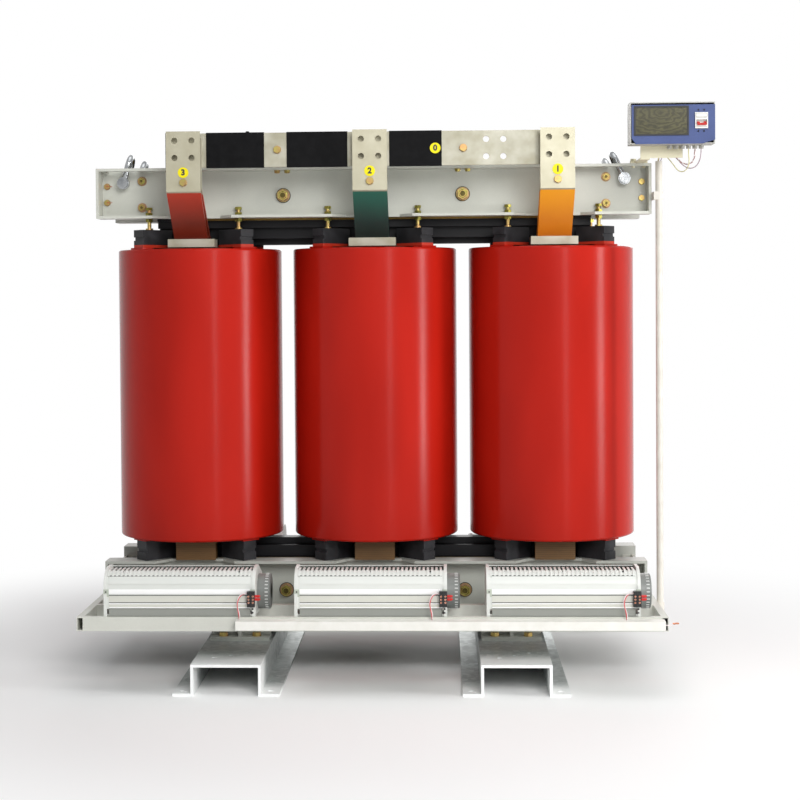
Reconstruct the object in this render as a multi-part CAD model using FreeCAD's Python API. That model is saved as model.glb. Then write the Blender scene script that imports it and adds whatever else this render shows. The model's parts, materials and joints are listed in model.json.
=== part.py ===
import FreeCAD, Part
import math
import os

# Dry type transformer, three coils in a row, millimetres.
# X runs along the row of coils, Y from the low-voltage side (front, negative) to the rear, Z up.
# The origin is on the floor, at the centre of the floor bolts, under the middle coil.

V = FreeCAD.Vector
FRONT = -1.0
REAR = 1.0
full_turn = 360.0
half_round = 180.0
AXIS_X = V(1, 0, 0)
AXIS_Y = V(0, 1, 0)
AXIS_Z = V(0, 0, 1)

# Clearances
fit_gap = 0.3
running_fit = 0.05
hole_gap = 1.0
same_place = 0.3

# Base channels, hat section, feet outwards
base_gauge = 820.0
base_height = 90.0
base_top_width = 200.0
base_foot = 52.0
base_sheet = 8.0
base_half_length = 525.0
foot_hole_radius = 9.0
foot_hole_inset = 35.0
side_slot_width = 6.0
side_slot_height = 28.0
side_slot_inset = 60.0
top_hole_radius = 7.0
top_hole_first = 95.0
top_hole_second = 125.0
top_hole_third = 160.0
top_hole_step = 45.0

# Foot brackets between the base channels and the lower clamps
bracket_height = 90.0
bracket_width = 180.0
bracket_sheet = 10.0
bracket_bolt_spread = 100.0
bracket_bolt_radius = 8.0
bracket_bolt_flats = 24.0
bracket_bolt_head = 9.0

# Core: stacks of sheet in stepped packets, cut to fit a circle
coil_air_gap = 39.0
core_radius = 118.0
packet_widest = 116.0
packet_second = 98.0
packet_third = 66.0
packet_narrowest = 44.0
core_bolt_offset = 30.0

# Coils
coil_height = 877.0
coil_lift = 16.0
coil_top_gap = 15.0
coil_duct = 30.0
coil_wall = 57.0
coil_edge = 6.0
end_seat = 5.0
seat_margin = 6.0
low_coil_clearance = 8.0
low_coil_wall = 39.0
low_coil_edge = 4.0

# Radial support blocks between the coils and the clamps
block_width = 48.0
block_inset = 19.0
upper_block_height = 54.0
lower_block_height = 60.0
block_groove = 5.0

# Clamps: folded channels, open away from the core
clamp_sheet = 8.0
clamp_board = 6.0
clamp_reach = 66.0
clamp_height = 150.0
clamp_drop = 34.0
clamp_end = 76.0
lower_clamp_short = 16.0
notch_flat = 81.0
notch_ramp = 40.0
notch_depth = 49.0

# Bolts through the clamps
core_bolt_radius = 10.0
core_washer_radius = 20.0
core_washer_thick = 6.0
core_nut_flats = 30.0
core_nut_height = 14.0
tie_bolt_out = 43.0
tie_bolt_spread = 80.0
tie_bolt_radius = 6.0
tie_washer_radius = 14.0
tie_nut_flats = 19.0
tie_nut_height = 9.0
end_bolt_inset = 14.0
end_bolt_spread = 49.0
end_bolt_radius = 5.0
end_bolt_flats = 16.0
end_bolt_head = 6.0
washer_thick = 2.5
washer_share = 0.6
small_rim_share = 0.75

# Ties between the front and rear clamps, and along the legs
end_tie_sheet = 6.0
end_tie_height = 96.0
end_tie_flange = 34.0
leg_tie_width = 60.0
leg_tie_inset = 30.0
leg_tie_gap = 0.4

# Jack bolts that press the blocks on the coils
jack_offset = 136.0
jack_radius = 6.0
jack_flats = 19.0
jack_foot = 5.0
jack_nut_height = 10.0
jack_head_height = 8.0
jack_head_rise = 18.0

# Wood blocks under the low-voltage coils
wood_width = 120.0
wood_depth = 40.0

# Low-voltage bars; heights are taken from the top of the upper clamp
bar_width = 100.0
bar_thick = 10.0
terminal_width = 140.0
terminal_height = 24.0
terminal_over = 35.0
inner_terminal_depth = 17.0
terminal_gap = 5.0
riser_out = 27.0
riser_above = 94.0
riser_bend_below = 81.0
riser_foot = 34.0
link_bend_below = 75.0
link_plane = 318.0
link_above = 76.0
link_foot = 16.0
neutral_over_left = 57.0
neutral_over_right = 50.0
neutral_height = 100.0
neutral_above = 91.0
sleeve_wall = 1.5
sleeve_end_band = 6.0
sleeve_from_leg = 63.0
sleeve_to_support = 38.5
sleeve_from_support = 27.5
sleeve_to_middle = 66.0
sleeve_from_middle = 56.0
sleeve_to_bare = 62.5
drill_pitch = 50.0
drill_radius = 9.0
riser_drill_inset = 27.0
neutral_drill_inset = 230.0
disc_radius = 15.5
disc_thick = 2.0
disc_drop = 120.0
neutral_disc_x = 190.0
riser_bolt_drop = 149.0
bar_bolt_radius = 5.0
bar_bolt_flats = 19.0
bar_bolt_head = 7.0
link_bolt_spread = 50.0
spacer_radius = 16.0
support_width = 60.0
support_sheet = 6.0
support_gap = 6.0
support_bolt_spread = 30.0

# Lifting shackles, hinged on pins through the upper clamps
shackle_out = 53.0
shackle_drop = 42.0
shackle_bar = 9.0
shackle_half_span = 28.0
shackle_length = 92.0
shackle_eye = 18.0
shackle_pin = 10.5
pin_head = 15.0
pin_head_thick = 8.0
shackle_lean_left = 15.0
shackle_lean_right = -24.0
shackle_slot_half = 48.0
shackle_slot_gap = 8.0

# Fan tray, rectangular tube
tube_width = 20.0
tube_height = 40.0
tube_wall = 2.5
tray_rise = 2.0
tray_margin = 10.0
inner_rail = 300.0

# Cross-flow fans
fan_length = 432.0
fan_set = 5.0
fan_depth = 195.0
fan_height = 133.0
fan_sheet = 2.5
fan_cap = 9.0
fan_cap_lip = 3.0
fan_corner = 56.0
fan_outlet_start = 97.0
fan_outlet_end = 161.0
fan_back_height = 96.0
fan_panel_low = 21.0
rotor_in = 97.0
rotor_rise = 56.0
rotor_radius = 43.0
rotor_disc = 2.5
rotor_blades = 20
rotor_blade_depth = 10.0
rotor_blade_thick = 1.4
rotor_end_gap = 5.0
shaft_radius = 4.0
shaft_grip = 6.0
motor_radius = 50.0
motor_length = 37.0
motor_edge = 4.0
fan_block_width = 22.0
fan_block_height = 44.0
fan_block_depth = 14.0
fan_block_rise = 29.0

# Cable trunking along the tray
trunk_start = 165.0
trunk_over = 7.0
trunk_depth = 40.0
trunk_height = 25.0
trunk_rise = 10.0
trunk_wall = 2.0

# Rear connections of the high-voltage coils
tap_half_width = 68.0
tap_slope = 18.0
tap_reach = 36.0
tap_half_height = 210.0
tap_rows = 4
tap_pitch = 90.0
tap_column = 32.0
terminal_inset = 62.0
terminal_boss = 26.0
terminal_boss_reach = 46.0
stud_radius = 6.0
stud_flats = 19.0
stud_nut = 8.0
link_width = 24.0
link_thick = 4.0
delta_width = 30.0
delta_thick = 6.0
delta_lug = 60.0
delta_lug_drill = 7.0
delta_side = 110.0
delta_rise = 53.0
delta_gap = 15.0

# Control box, from the right-hand end and the top of the upper clamp
box_overlap = 82.0
box_width = 236.0
box_rise = 38.0
box_height = 111.0
box_front = 400.0
box_depth = 70.0
box_wall = 3.0
box_brim = 8.0
panel_thick = 4.0
panel_left_drop = 16.0
panel_left_cut = 12.0
panel_right_drop = 11.0
panel_right_cut = 36.0
window_inset = 9.0
window_width = 150.0
window_low = 26.0
window_high = 79.0
window_proud = 1.0
breaker_inset = 21.0
breaker_width = 36.0
breaker_low = 43.0
breaker_high = 45.0
breaker_nose = 6.0
breaker_body_depth = 40.0
toggle_half_width = 15.0
toggle_hub = 3.0
toggle_pin = 1.5
toggle_reach = 13.0
toggle_bar = 5.0
toggle_drop = 5.0
toggle_tilt = 35.0
toggle_well = 8.0
gland_radius = 7.0
gland_length = 10.0
gland_pitch = 18.0
gland_count = 6
gland_first = 114.0
gland_in = 52.0
arm_overlap = 49.0
arm_width = 27.0
arm_foot = 50.0
arm_foot_start = 12.5
arm_foot_spread = 32.0
arm_sheet = 5.0
arm_plate_width = 121.0
arm_plate_low = 34.0
arm_plate_high = 60.0
arm_bolt_radius = 4.0
arm_bolt_flats = 13.0
arm_bolt_head = 5.0

# Conduit down the right-hand side, on two clips
conduit_radius = 10.0
conduit_wall = 1.5
conduit_y = 232.0
conduit_above = 2.0
conduit_lift = 4.0
clip_sheet = 2.0
clip_width = 24.0
clip_reach = 42.0
low_clip_rise = 20.0

# Wires: routes chosen by hand, fan leads from the end of each fan's terminal block
route_unit = 1.0
lead_radius = 2.2
bend_share = 0.45
wire_radius = 2.0
lead_route = ((0.0, 0.0, 0.0), (-14.0, 0.0, 0.0), (-24.0, -5.0, -11.0), (-28.0, -12.0, -28.0),
              (-23.0, -18.0, -44.0), (-20.0, -20.0, -57.0), (-20.0, -20.0, -71.0))
gland_run = 16.0
wire_glands = (4, 3, 5)
wire_routes = (
    ((0.0, 5.0, 0.0), (0.0, 3.0, 16.0), (7.0, -7.0, 30.0), (22.0, -21.0, 33.0), (38.0, -37.0, 18.0),
     (50.0, -54.0, -2.0), (64.0, -71.0, -15.0), (78.0, -88.0, -16.0), (87.0, -104.0, -6.0)),
    ((-3.0, -4.0, 0.0), (-2.0, -8.0, 12.0), (6.0, -18.0, 18.0), (20.0, -32.0, 10.0), (34.0, -50.0, -12.0),
     (46.0, -68.0, -34.0), (60.0, -86.0, -39.0), (70.0, -103.0, -28.0), (73.0, -113.0, -10.0)),
    ((5.0, -3.0, 0.0), (9.0, -5.0, 13.0), (19.0, -11.0, 21.0), (34.0, -18.0, 20.0), (48.0, -30.0, 6.0),
     (63.0, -45.0, -16.0), (80.0, -62.0, -28.0), (96.0, -80.0, -24.0), (104.0, -98.0, -9.0)))

# Places worked out from the sizes above, from the floor up
packet_half_widths = (packet_widest, packet_second, packet_third, packet_narrowest)
top_hole_insets = (top_hole_first, top_hole_second, top_hole_third)
low_coil_inner = core_radius + low_coil_clearance
low_coil_outer = low_coil_inner + low_coil_wall
coil_inner = low_coil_outer + coil_duct
coil_outer = coil_inner + coil_wall
block_outer = coil_outer - block_inset
terminal_reach = low_coil_outer + terminal_over
leg_pitch = 2 * coil_outer + coil_air_gap
leg_places = (-leg_pitch, 0.0, leg_pitch)
leg_names = ("left", "middle", "right")
lower_clamp_bottom = base_height + bracket_height
lower_clamp_top = lower_clamp_bottom + clamp_height
lower_seat = lower_clamp_top + lower_block_height
coil_bottom = lower_seat + end_seat
coil_top = coil_bottom + coil_height
upper_seat = coil_top + end_seat
upper_block_top = upper_seat + upper_block_height
upper_clamp_bottom = upper_block_top + clamp_drop
upper_clamp_top = upper_clamp_bottom + clamp_height
window_bottom = coil_bottom - coil_lift
window_top = coil_top + coil_top_gap
packet_half_depths = [math.sqrt(core_radius ** 2 - w ** 2) for w in packet_half_widths]
core_half_depth = packet_half_depths[-1]
yoke_half_height = packet_half_widths[0]
yoke_half_length = leg_pitch + packet_half_widths[0]
tie_bolt_x = yoke_half_length + tie_bolt_out
shackle_x = tie_bolt_x + shackle_out
upper_clamp_half = shackle_x + clamp_end
lower_clamp_half = upper_clamp_half - lower_clamp_short
lower_yoke_z = window_bottom - yoke_half_height
upper_yoke_z = window_top + yoke_half_height
web_inner = core_half_depth + clamp_board
web_outer = web_inner + clamp_sheet
flange_edge = web_outer + clamp_reach
notch_edge = flange_edge - notch_depth
tray_bottom = lower_clamp_bottom + tray_rise
tray_top = tray_bottom + tube_height
core_bolt_places = (-leg_pitch / 2, leg_pitch / 2)
core_bolt_heights = (lower_yoke_z - core_bolt_offset, upper_yoke_z + core_bolt_offset)
tie_bolt_middle = (upper_clamp_bottom + upper_clamp_top) / 2
low_tie_middle = (lower_clamp_bottom + lower_clamp_top) / 2
terminal_top = upper_seat + terminal_height
shackle_z = upper_clamp_top - shackle_drop
riser_top = upper_clamp_top + riser_above
riser_bend = upper_clamp_top - riser_bend_below
neutral_top = upper_clamp_top + neutral_above
link_top = upper_clamp_top + link_above
riser_plane = link_plane + riser_out
neutral_plane = link_plane - bar_thick
neutral_left = -leg_pitch - neutral_over_left
neutral_right = leg_pitch + neutral_over_right
sleeve_spans = ((neutral_left, neutral_left + sleeve_end_band),
                (-leg_pitch + sleeve_from_leg, -leg_pitch / 2 - sleeve_to_support),
                (-leg_pitch / 2 + sleeve_from_support, -sleeve_to_middle),
                (sleeve_from_middle, leg_pitch / 2 - sleeve_to_bare))
trunk_left = -leg_pitch + trunk_start
trunk_right = lower_clamp_half + trunk_over
box_left = upper_clamp_half - box_overlap
arm_left = upper_clamp_half - arm_overlap
gland_y = box_front - gland_in
box_right = box_left + box_width
box_bottom = upper_clamp_top + box_rise
box_top = box_bottom + box_height
fan_back = inner_rail + fan_set
fan_front = fan_back + fan_depth
fan_outlet_back = fan_back + fan_outlet_start
fan_outlet_front = fan_back + fan_outlet_end
rotor_u = fan_back + rotor_in
tray_half_depth = fan_front + tray_margin
fan_top = tray_top + fan_height
rotor_z = tray_top + rotor_rise
trunk_bottom = tray_bottom + trunk_rise
trunk_back = tray_half_depth
conduit_x = lower_clamp_half + tube_width + clip_sheet + conduit_radius
conduit_top = upper_clamp_top + conduit_above
conduit_bottom = tray_bottom + conduit_lift
link_bend = upper_clamp_top - link_bend_below
coil_middle = (coil_bottom + coil_top) / 2
high_terminal_heights = (coil_bottom + terminal_inset, coil_top - terminal_inset)
block_diagonal_ratio = math.sqrt(0.5)
web_middle = web_inner + clamp_sheet / 2
slot_edge = web_middle + shackle_half_span + shackle_bar + shackle_slot_gap
arm_start = slot_edge + hole_gap
base_places = (-base_gauge / 2, base_gauge / 2)
foot_hole_y = base_half_length - foot_hole_inset
bracket_middle = web_outer + base_sheet + bracket_sheet + (clamp_reach - base_sheet - bracket_sheet) / 2


# Shapes that many sub-parts use

def box(x0, x1, y0, y1, z0, z1):
    low = V(min(x0, x1), min(y0, y1), min(z0, z1))
    return Part.makeBox(abs(x1 - x0), abs(y1 - y0), abs(z1 - z0), low)


def rod(radius, start, end):
    line = end - start
    return Part.makeCylinder(radius, line.Length, start, line)


def tube(outer, inner, start, end):
    return rod(outer, start, end).cut(rod(inner, start, end))


def prism(points, travel):
    outline = Part.makePolygon(list(points) + [points[0]])
    return Part.Face(outline).extrude(travel)


def prism_yz(pairs, x0, x1):
    return prism([V(x0, y, z) for y, z in pairs], V(x1 - x0, 0, 0))


def prism_xy(pairs, z0, z1):
    return prism([V(x, y, z0) for x, y in pairs], V(0, 0, z1 - z0))


def prism_xz(pairs, y0, y1):
    return prism([V(x, y0, z) for x, z in pairs], V(0, y1 - y0, 0))


def hexagon(flats, start, end):
    line = end - start
    corner = flats / math.sqrt(3)
    side = line.cross(AXIS_X)
    if side.Length < same_place:
        side = line.cross(AXIS_Z)
    side.normalize()
    turn = FreeCAD.Rotation(line, 60)
    points = []
    for _ in range(6):
        points.append(start + side * corner)
        side = turn.multVec(side)
    return prism(points, line)


def fused(shapes):
    return shapes[0].fuse(shapes[1:]).removeSplitter()


def drilled(shape, holes):
    return shape.cut(Part.makeCompound(holes))


def turned_z(shape):
    copy = shape.copy()
    copy.rotate(V(0, 0, 0), AXIS_Z, half_round)
    return copy


def moved(shape, x=0, y=0, z=0):
    copy = shape.copy()
    copy.translate(V(x, y, z))
    return copy


def save(name, shapes):
    if not isinstance(shapes, (list, tuple)):
        shapes = [shapes]
    solids = []
    for shape in shapes:
        solids.extend(shape.Solids)
    whole = solids[0] if len(solids) == 1 else Part.makeCompound(solids)
    whole.exportStep("parts/" + name + ".step")


def screw(radius, flats, head, seat, away, length, nut=0, nut_seat=0):
    # a hexagon bolt from its seat: head on the away side, shank the other way, washer under the head
    collar = rod(flats * washer_share, seat, seat + away * washer_thick)
    cap = hexagon(flats, seat + away * washer_thick, seat + away * (washer_thick + head))
    shank = rod(radius, seat, seat - away * length)
    pieces = [cap, collar, shank]
    if nut:
        far = seat - away * nut_seat
        pieces.append(rod(flats * washer_share, far, far - away * washer_thick))
        pieces.append(hexagon(flats, far - away * washer_thick, far - away * (washer_thick + nut)))
    return fused(pieces)


# Core

def stepped_outline(half_widths, half_depths):
    quarter = []
    for place, (wide, deep) in enumerate(zip(half_widths, half_depths)):
        if place:
            quarter.append((wide, half_depths[place - 1]))
        quarter.append((wide, deep))
    outline = list(quarter)
    outline += [(-a, b) for a, b in reversed(quarter)]
    outline += [(-a, -b) for a, b in quarter]
    outline += [(a, -b) for a, b in reversed(quarter)]
    return outline


def core_leg(x):
    outline = [(x + a, b) for a, b in stepped_outline(packet_half_widths, packet_half_depths)]
    return prism_xy(outline, window_bottom, window_top)


def yoke(middle, bolt_z):
    outline = [(b, middle + a) for a, b in stepped_outline(packet_half_widths, packet_half_depths)]
    block = prism_yz(outline, -yoke_half_length, yoke_half_length)
    reach = core_half_depth + hole_gap
    holes = [rod(core_bolt_radius + hole_gap, V(x, -reach, bolt_z), V(x, reach, bolt_z))
             for x in core_bolt_places]
    return drilled(block, holes)


# Coils: turned rings with rounded edges and low seats for the blocks

def ring_with_edges(x, inner, outer, bottom, top, edge):
    swing = edge * (1 - block_diagonal_ratio)
    points = [V(x + inner, 0, bottom), V(x + outer - edge, 0, bottom),
              V(x + outer - swing, 0, bottom + swing), V(x + outer, 0, bottom + edge),
              V(x + outer, 0, top - edge), V(x + outer - swing, 0, top - swing),
              V(x + outer - edge, 0, top), V(x + inner, 0, top)]
    edges = [Part.makeLine(points[0], points[1]),
             Part.Arc(points[1], points[2], points[3]).toShape(),
             Part.makeLine(points[3], points[4]),
             Part.Arc(points[4], points[5], points[6]).toShape(),
             Part.makeLine(points[6], points[7]),
             Part.makeLine(points[7], points[0])]
    face = Part.Face(Part.Wire(edges))
    return face.revolve(V(x, 0, 0), AXIS_Z, full_turn)


def radial_box(x, y_side, x_side, near, far, width, z0, z1):
    # a prism whose length points away from the coil's axis at 45 degrees
    turn = math.degrees(math.atan2(y_side, x_side))
    shape = box(near, far, -width / 2, width / 2, z0, z1)
    shape.rotate(V(0, 0, 0), AXIS_Z, turn)
    shape.translate(V(x, 0, 0))
    return shape


def corners():
    return [(x_side, y_side) for x_side in (-1, 1) for y_side in (FRONT, REAR)]


def tap_panel(x):
    # the cast panel on the rear of a coil, with a round boss for each end of the winding
    root = math.sqrt(coil_outer ** 2 - (tap_half_width + tap_slope) ** 2) - coil_edge
    face_y = coil_outer + tap_reach
    outline = [(x - tap_half_width - tap_slope, root), (x - tap_half_width, face_y),
               (x + tap_half_width, face_y), (x + tap_half_width + tap_slope, root)]
    panel = prism_xy(outline, coil_middle - tap_half_height, coil_middle + tap_half_height)
    bosses = [rod(terminal_boss, V(x, coil_outer - coil_edge, z), V(x, coil_outer + terminal_boss_reach, z))
              for z in high_terminal_heights]
    return [panel] + bosses


def tap_places(x):
    first = coil_middle - tap_pitch * (tap_rows - 1) / 2
    return [(x + side * tap_column, first + row * tap_pitch)
            for row in range(tap_rows) for side in (-1, 1)]


def high_coil(x):
    ring = ring_with_edges(x, coil_inner, coil_outer, coil_bottom, coil_top, coil_edge)
    seats = []
    for x_side, y_side in corners():
        near = coil_inner + seat_margin
        far = coil_outer - 2 * seat_margin
        wide = block_width + 2 * seat_margin
        seats.append(radial_box(x, y_side, x_side, near, far, wide, lower_seat, coil_bottom + end_seat))
        seats.append(radial_box(x, y_side, x_side, near, far, wide, coil_top - end_seat, upper_seat))
    body = fused([ring] + seats + tap_panel(x))
    holes = [rod(stud_radius, V(a, coil_outer, z), V(a, coil_outer + tap_reach, z))
             for a, z in tap_places(x)]
    holes += [rod(stud_radius, V(x, coil_outer, z), V(x, coil_outer + terminal_boss_reach, z))
              for z in high_terminal_heights]
    return drilled(body, holes)


def low_coil(x):
    return ring_with_edges(x, low_coil_inner, low_coil_outer, lower_seat, upper_seat, low_coil_edge)


# Support blocks, wood blocks

def block_near(half_depth):
    # the block's inner corner stays clear of the yoke's packet at its height
    return (half_depth + end_seat) / block_diagonal_ratio + block_width / 2


def packet_depth_at(height):
    depths = [d for w, d in zip(packet_half_widths, packet_half_depths) if w >= height]
    return max(depths + [0.0])


def support_block(x, x_side, y_side, z0, z1, yoke_gap):
    near = block_near(packet_depth_at(yoke_gap))
    block = radial_box(x, y_side, x_side, near, block_outer, block_width, z0, z1)
    groove_z = (z0 + z1) / 2
    groove = radial_box(x, y_side, x_side, block_outer - block_groove, block_outer + block_groove,
                        block_width + block_groove, groove_z - block_groove, groove_z + block_groove)
    return block.cut(groove)


def support_blocks():
    upper_gap = upper_yoke_z - upper_block_top
    lower_gap = lower_clamp_top - lower_yoke_z
    shapes = []
    for x in leg_places:
        for x_side, y_side in corners():
            shapes.append(support_block(x, x_side, y_side, upper_seat, upper_block_top, upper_gap))
            shapes.append(support_block(x, x_side, y_side, lower_clamp_top, lower_seat, lower_gap))
    return shapes


def wood_blocks():
    shapes = []
    for x in leg_places:
        for side in (FRONT, REAR):
            shapes.append(box(x - wood_width / 2, x + wood_width / 2, side * (web_outer + fit_gap),
                              side * (web_outer + wood_depth), lower_clamp_top, lower_seat))
    return shapes


# Clamps

def notch(x, side, z0, z1):
    edge = side * (flange_edge + hole_gap)
    deep = side * notch_edge
    outline = [(x - notch_flat - notch_ramp, edge), (x - notch_flat, deep),
               (x + notch_flat, deep), (x + notch_flat + notch_ramp, edge)]
    return prism_xy(outline, z0, z1)


def jack_places():
    return [(x + x_side * jack_offset, y_side * jack_offset)
            for x in leg_places for x_side, y_side in corners()]


def channel(side, z0, z1, half_length):
    near = side * web_inner
    web = side * web_outer
    edge = side * flange_edge
    pieces = [box(-half_length, half_length, near, web, z0, z1)]
    pieces.append(box(-half_length, half_length, near, edge, z0, z0 + clamp_sheet))
    pieces.append(box(-half_length, half_length, near, edge, z1 - clamp_sheet, z1))
    for end in (-half_length, half_length - clamp_sheet):
        pieces.append(box(end, end + clamp_sheet, near, edge, z0, z1))
    return fused(pieces)


def web_holes(side, radius, places):
    return [rod(radius, V(x, side * (web_inner - hole_gap), z), V(x, side * (web_outer + hole_gap), z))
            for x, z in places]


def tie_bolt_places(middle):
    half = tie_bolt_spread / 2
    return [(x, middle + rise) for x in (-tie_bolt_x, tie_bolt_x) for rise in (-half, half)]


def end_bolt_places(half_length, middle):
    x = half_length - clamp_sheet - end_bolt_inset
    half = end_bolt_spread / 2
    return [(end * x, middle + rise) for end in (-1, 1) for rise in (-half, half)]


def leg_tie_places():
    heights = (lower_clamp_bottom + leg_tie_inset * 2, upper_clamp_top - leg_tie_inset * 2)
    return [(x, z) for x in leg_places for z in heights]


def clamp_web_places(core_z, middle, half_length):
    core = [(x, core_z) for x in core_bolt_places]
    small = tie_bolt_places(middle)
    ends = end_bolt_places(half_length, middle)
    return core, small, ends


def channel_holes(side, core_z, middle, half_length, tie_z):
    core, small, ends = clamp_web_places(core_z, middle, half_length)
    holes = web_holes(side, core_bolt_radius + hole_gap, core)
    holes += web_holes(side, tie_bolt_radius + hole_gap, small)
    holes += web_holes(side, end_bolt_radius + hole_gap, ends)
    holes += web_holes(side, tie_bolt_radius + hole_gap, [(x, tie_z) for x in leg_places])
    return holes


def shackle_slots(side):
    slots = []
    for x in (-shackle_x, shackle_x):
        slots.append(box(x - shackle_slot_half, x + shackle_slot_half, side * web_outer, side * slot_edge,
                         upper_clamp_top - clamp_sheet - hole_gap, upper_clamp_top + hole_gap))
    return slots


def support_bolt_places():
    y = web_outer + clamp_reach / 2
    return [(x + half, -y) for x in core_bolt_places
            for half in (-support_bolt_spread / 2, support_bolt_spread / 2)]


def arm_bolt_places():
    middle = arm_left - arm_foot_start + arm_foot / 2
    y = -(arm_start + flange_edge) / 2
    return [(middle + half, y) for half in (-arm_foot_spread / 2, arm_foot_spread / 2)]


def upper_clamp(side):
    body = channel(side, upper_clamp_bottom, upper_clamp_top, upper_clamp_half)
    floor_z = (upper_clamp_bottom - hole_gap, upper_clamp_bottom + clamp_sheet + hole_gap)
    roof_z = (upper_clamp_top - clamp_sheet - hole_gap, upper_clamp_top + hole_gap)
    holes = [notch(x, side, *floor_z) for x in leg_places]
    holes += [rod(jack_radius + hole_gap, V(x, y, floor_z[0]), V(x, y, floor_z[1]))
              for x, y in jack_places() if y * side > 0]
    holes += channel_holes(side, core_bolt_heights[1], tie_bolt_middle, upper_clamp_half,
                           leg_tie_places()[1][1])
    holes += shackle_slots(side)
    holes += [rod(shackle_pin + running_fit, V(x, side * (web_inner - hole_gap), shackle_z),
                  V(x, side * (web_outer + hole_gap), shackle_z)) for x in (-shackle_x, shackle_x)]
    if side == FRONT:
        small = end_bolt_radius + hole_gap
        holes += [rod(small, V(x, y, roof_z[0]), V(x, y, roof_z[1]))
                  for x, y in support_bolt_places() + arm_bolt_places()]
    return drilled(body, holes)


def lower_clamp(side):
    body = channel(side, lower_clamp_bottom, lower_clamp_top, lower_clamp_half)
    roof_z = (lower_clamp_top - clamp_sheet - hole_gap, lower_clamp_top + hole_gap)
    holes = [notch(x, side, *roof_z) for x in leg_places]
    holes += channel_holes(side, core_bolt_heights[0], low_tie_middle, lower_clamp_half,
                           leg_tie_places()[0][1])
    return drilled(body, holes)


# Ties and insulating boards

def leg_ties():
    shapes = []
    thick = clamp_board - 2 * leg_tie_gap
    z0 = lower_clamp_bottom + leg_tie_inset
    z1 = upper_clamp_top - leg_tie_inset
    for side in (FRONT, REAR):
        near = side * (core_half_depth + leg_tie_gap)
        for x in leg_places:
            strip = box(x - leg_tie_width / 2, x + leg_tie_width / 2, near, near + side * thick, z0, z1)
            holes = [rod(tie_bolt_radius, V(x, 0, z), V(x, side * web_inner, z))
                     for a, z in leg_tie_places() if a == x]
            shapes.append(drilled(strip, holes))
    return shapes


def clamp_boards():
    shapes = []
    spans = ((lower_clamp_bottom + clamp_sheet, lower_clamp_top),
             (upper_clamp_bottom, upper_clamp_top - clamp_sheet))
    for (z0, z1), bolt_z in zip(spans, core_bolt_heights):
        for side in (FRONT, REAR):
            for x in core_bolt_places:
                half = leg_pitch / 2 - leg_tie_width / 2 - end_seat
                board = box(x - half, x + half, side * core_half_depth, side * web_inner, z0, z1)
                hole = rod(core_bolt_radius + hole_gap, V(x, side * (core_half_depth - hole_gap), bolt_z),
                           V(x, side * (web_inner + hole_gap), bolt_z))
                shapes.append(board.cut(hole))
    return shapes


def end_tie(end, half_length, middle):
    outer = end * (half_length - clamp_sheet)
    inner = outer - end * end_tie_sheet
    z0 = middle - end_tie_height / 2
    z1 = middle + end_tie_height / 2
    pieces = [box(inner, outer, -web_inner, web_inner, z0, z1)]
    for side in (FRONT, REAR):
        pieces.append(box(outer, outer - end * end_tie_flange, side * web_inner,
                          side * (web_inner - end_tie_sheet), z0, z1))
    body = fused(pieces)
    holes = [rod(end_bolt_radius + hole_gap, V(x, -web_outer, z), V(x, web_outer, z))
             for x, z in end_bolt_places(half_length, middle) if x * end > 0]
    return drilled(body, holes)


def end_ties():
    return [end_tie(end, half, middle) for end in (-1, 1)
            for half, middle in ((upper_clamp_half, tie_bolt_middle), (lower_clamp_half, low_tie_middle))]


# Bolts of the frame

def through_bolt(x, z, radius, flats, height, washer_radius, washer):
    pieces = [rod(radius, V(x, -web_outer, z), V(x, web_outer, z))]
    for side in (FRONT, REAR):
        seat = side * web_outer
        rim = seat + side * washer
        pieces.append(rod(washer_radius, V(x, seat, z), V(x, rim, z)))
        pieces.append(rod(washer_radius * small_rim_share, V(x, rim, z), V(x, rim + side * washer_thick, z)))
        far = rim + side * washer_thick
        pieces.append(hexagon(flats, V(x, far, z), V(x, far + side * height, z)))
        pieces.append(rod(radius, V(x, far, z), V(x, far + side * (height + washer_thick), z)))
    return fused(pieces)


def frame_bolts():
    shapes = []
    for z in core_bolt_heights:
        for x in core_bolt_places:
            shapes.append(through_bolt(x, z, core_bolt_radius, core_nut_flats, core_nut_height,
                                       core_washer_radius, core_washer_thick))
    for middle in (tie_bolt_middle, low_tie_middle):
        for x, z in tie_bolt_places(middle):
            shapes.append(through_bolt(x, z, tie_bolt_radius, tie_nut_flats, tie_nut_height,
                                       tie_washer_radius, washer_thick))
    for half, middle in ((upper_clamp_half, tie_bolt_middle), (lower_clamp_half, low_tie_middle)):
        for x, z in end_bolt_places(half, middle):
            for side in (FRONT, REAR):
                seat = V(x, side * web_outer, z)
                shapes.append(screw(end_bolt_radius, end_bolt_flats, end_bolt_head, seat, V(0, side, 0),
                                    clamp_sheet + end_tie_sheet + washer_thick))
    for x, z in leg_tie_places():
        for side in (FRONT, REAR):
            seat = V(x, side * web_outer, z)
            shapes.append(screw(tie_bolt_radius, tie_nut_flats, tie_nut_height, seat, V(0, side, 0),
                                clamp_sheet + clamp_board - leg_tie_gap))
    return shapes


def jack_bolts():
    shapes = []
    roof = upper_clamp_bottom + clamp_sheet
    head = roof + jack_head_rise
    for x, y in jack_places():
        shapes.append(fused([
            rod(jack_radius, V(x, y, upper_block_top), V(x, y, head)),
            rod(jack_flats * washer_share, V(x, y, upper_block_top), V(x, y, upper_block_top + jack_foot)),
            hexagon(jack_flats, V(x, y, upper_clamp_bottom - jack_nut_height), V(x, y, upper_clamp_bottom)),
            hexagon(jack_flats, V(x, y, roof), V(x, y, roof + jack_nut_height)),
            hexagon(jack_flats, V(x, y, head), V(x, y, head + jack_head_height))]))
    return shapes


# Base channels and foot brackets

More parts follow.
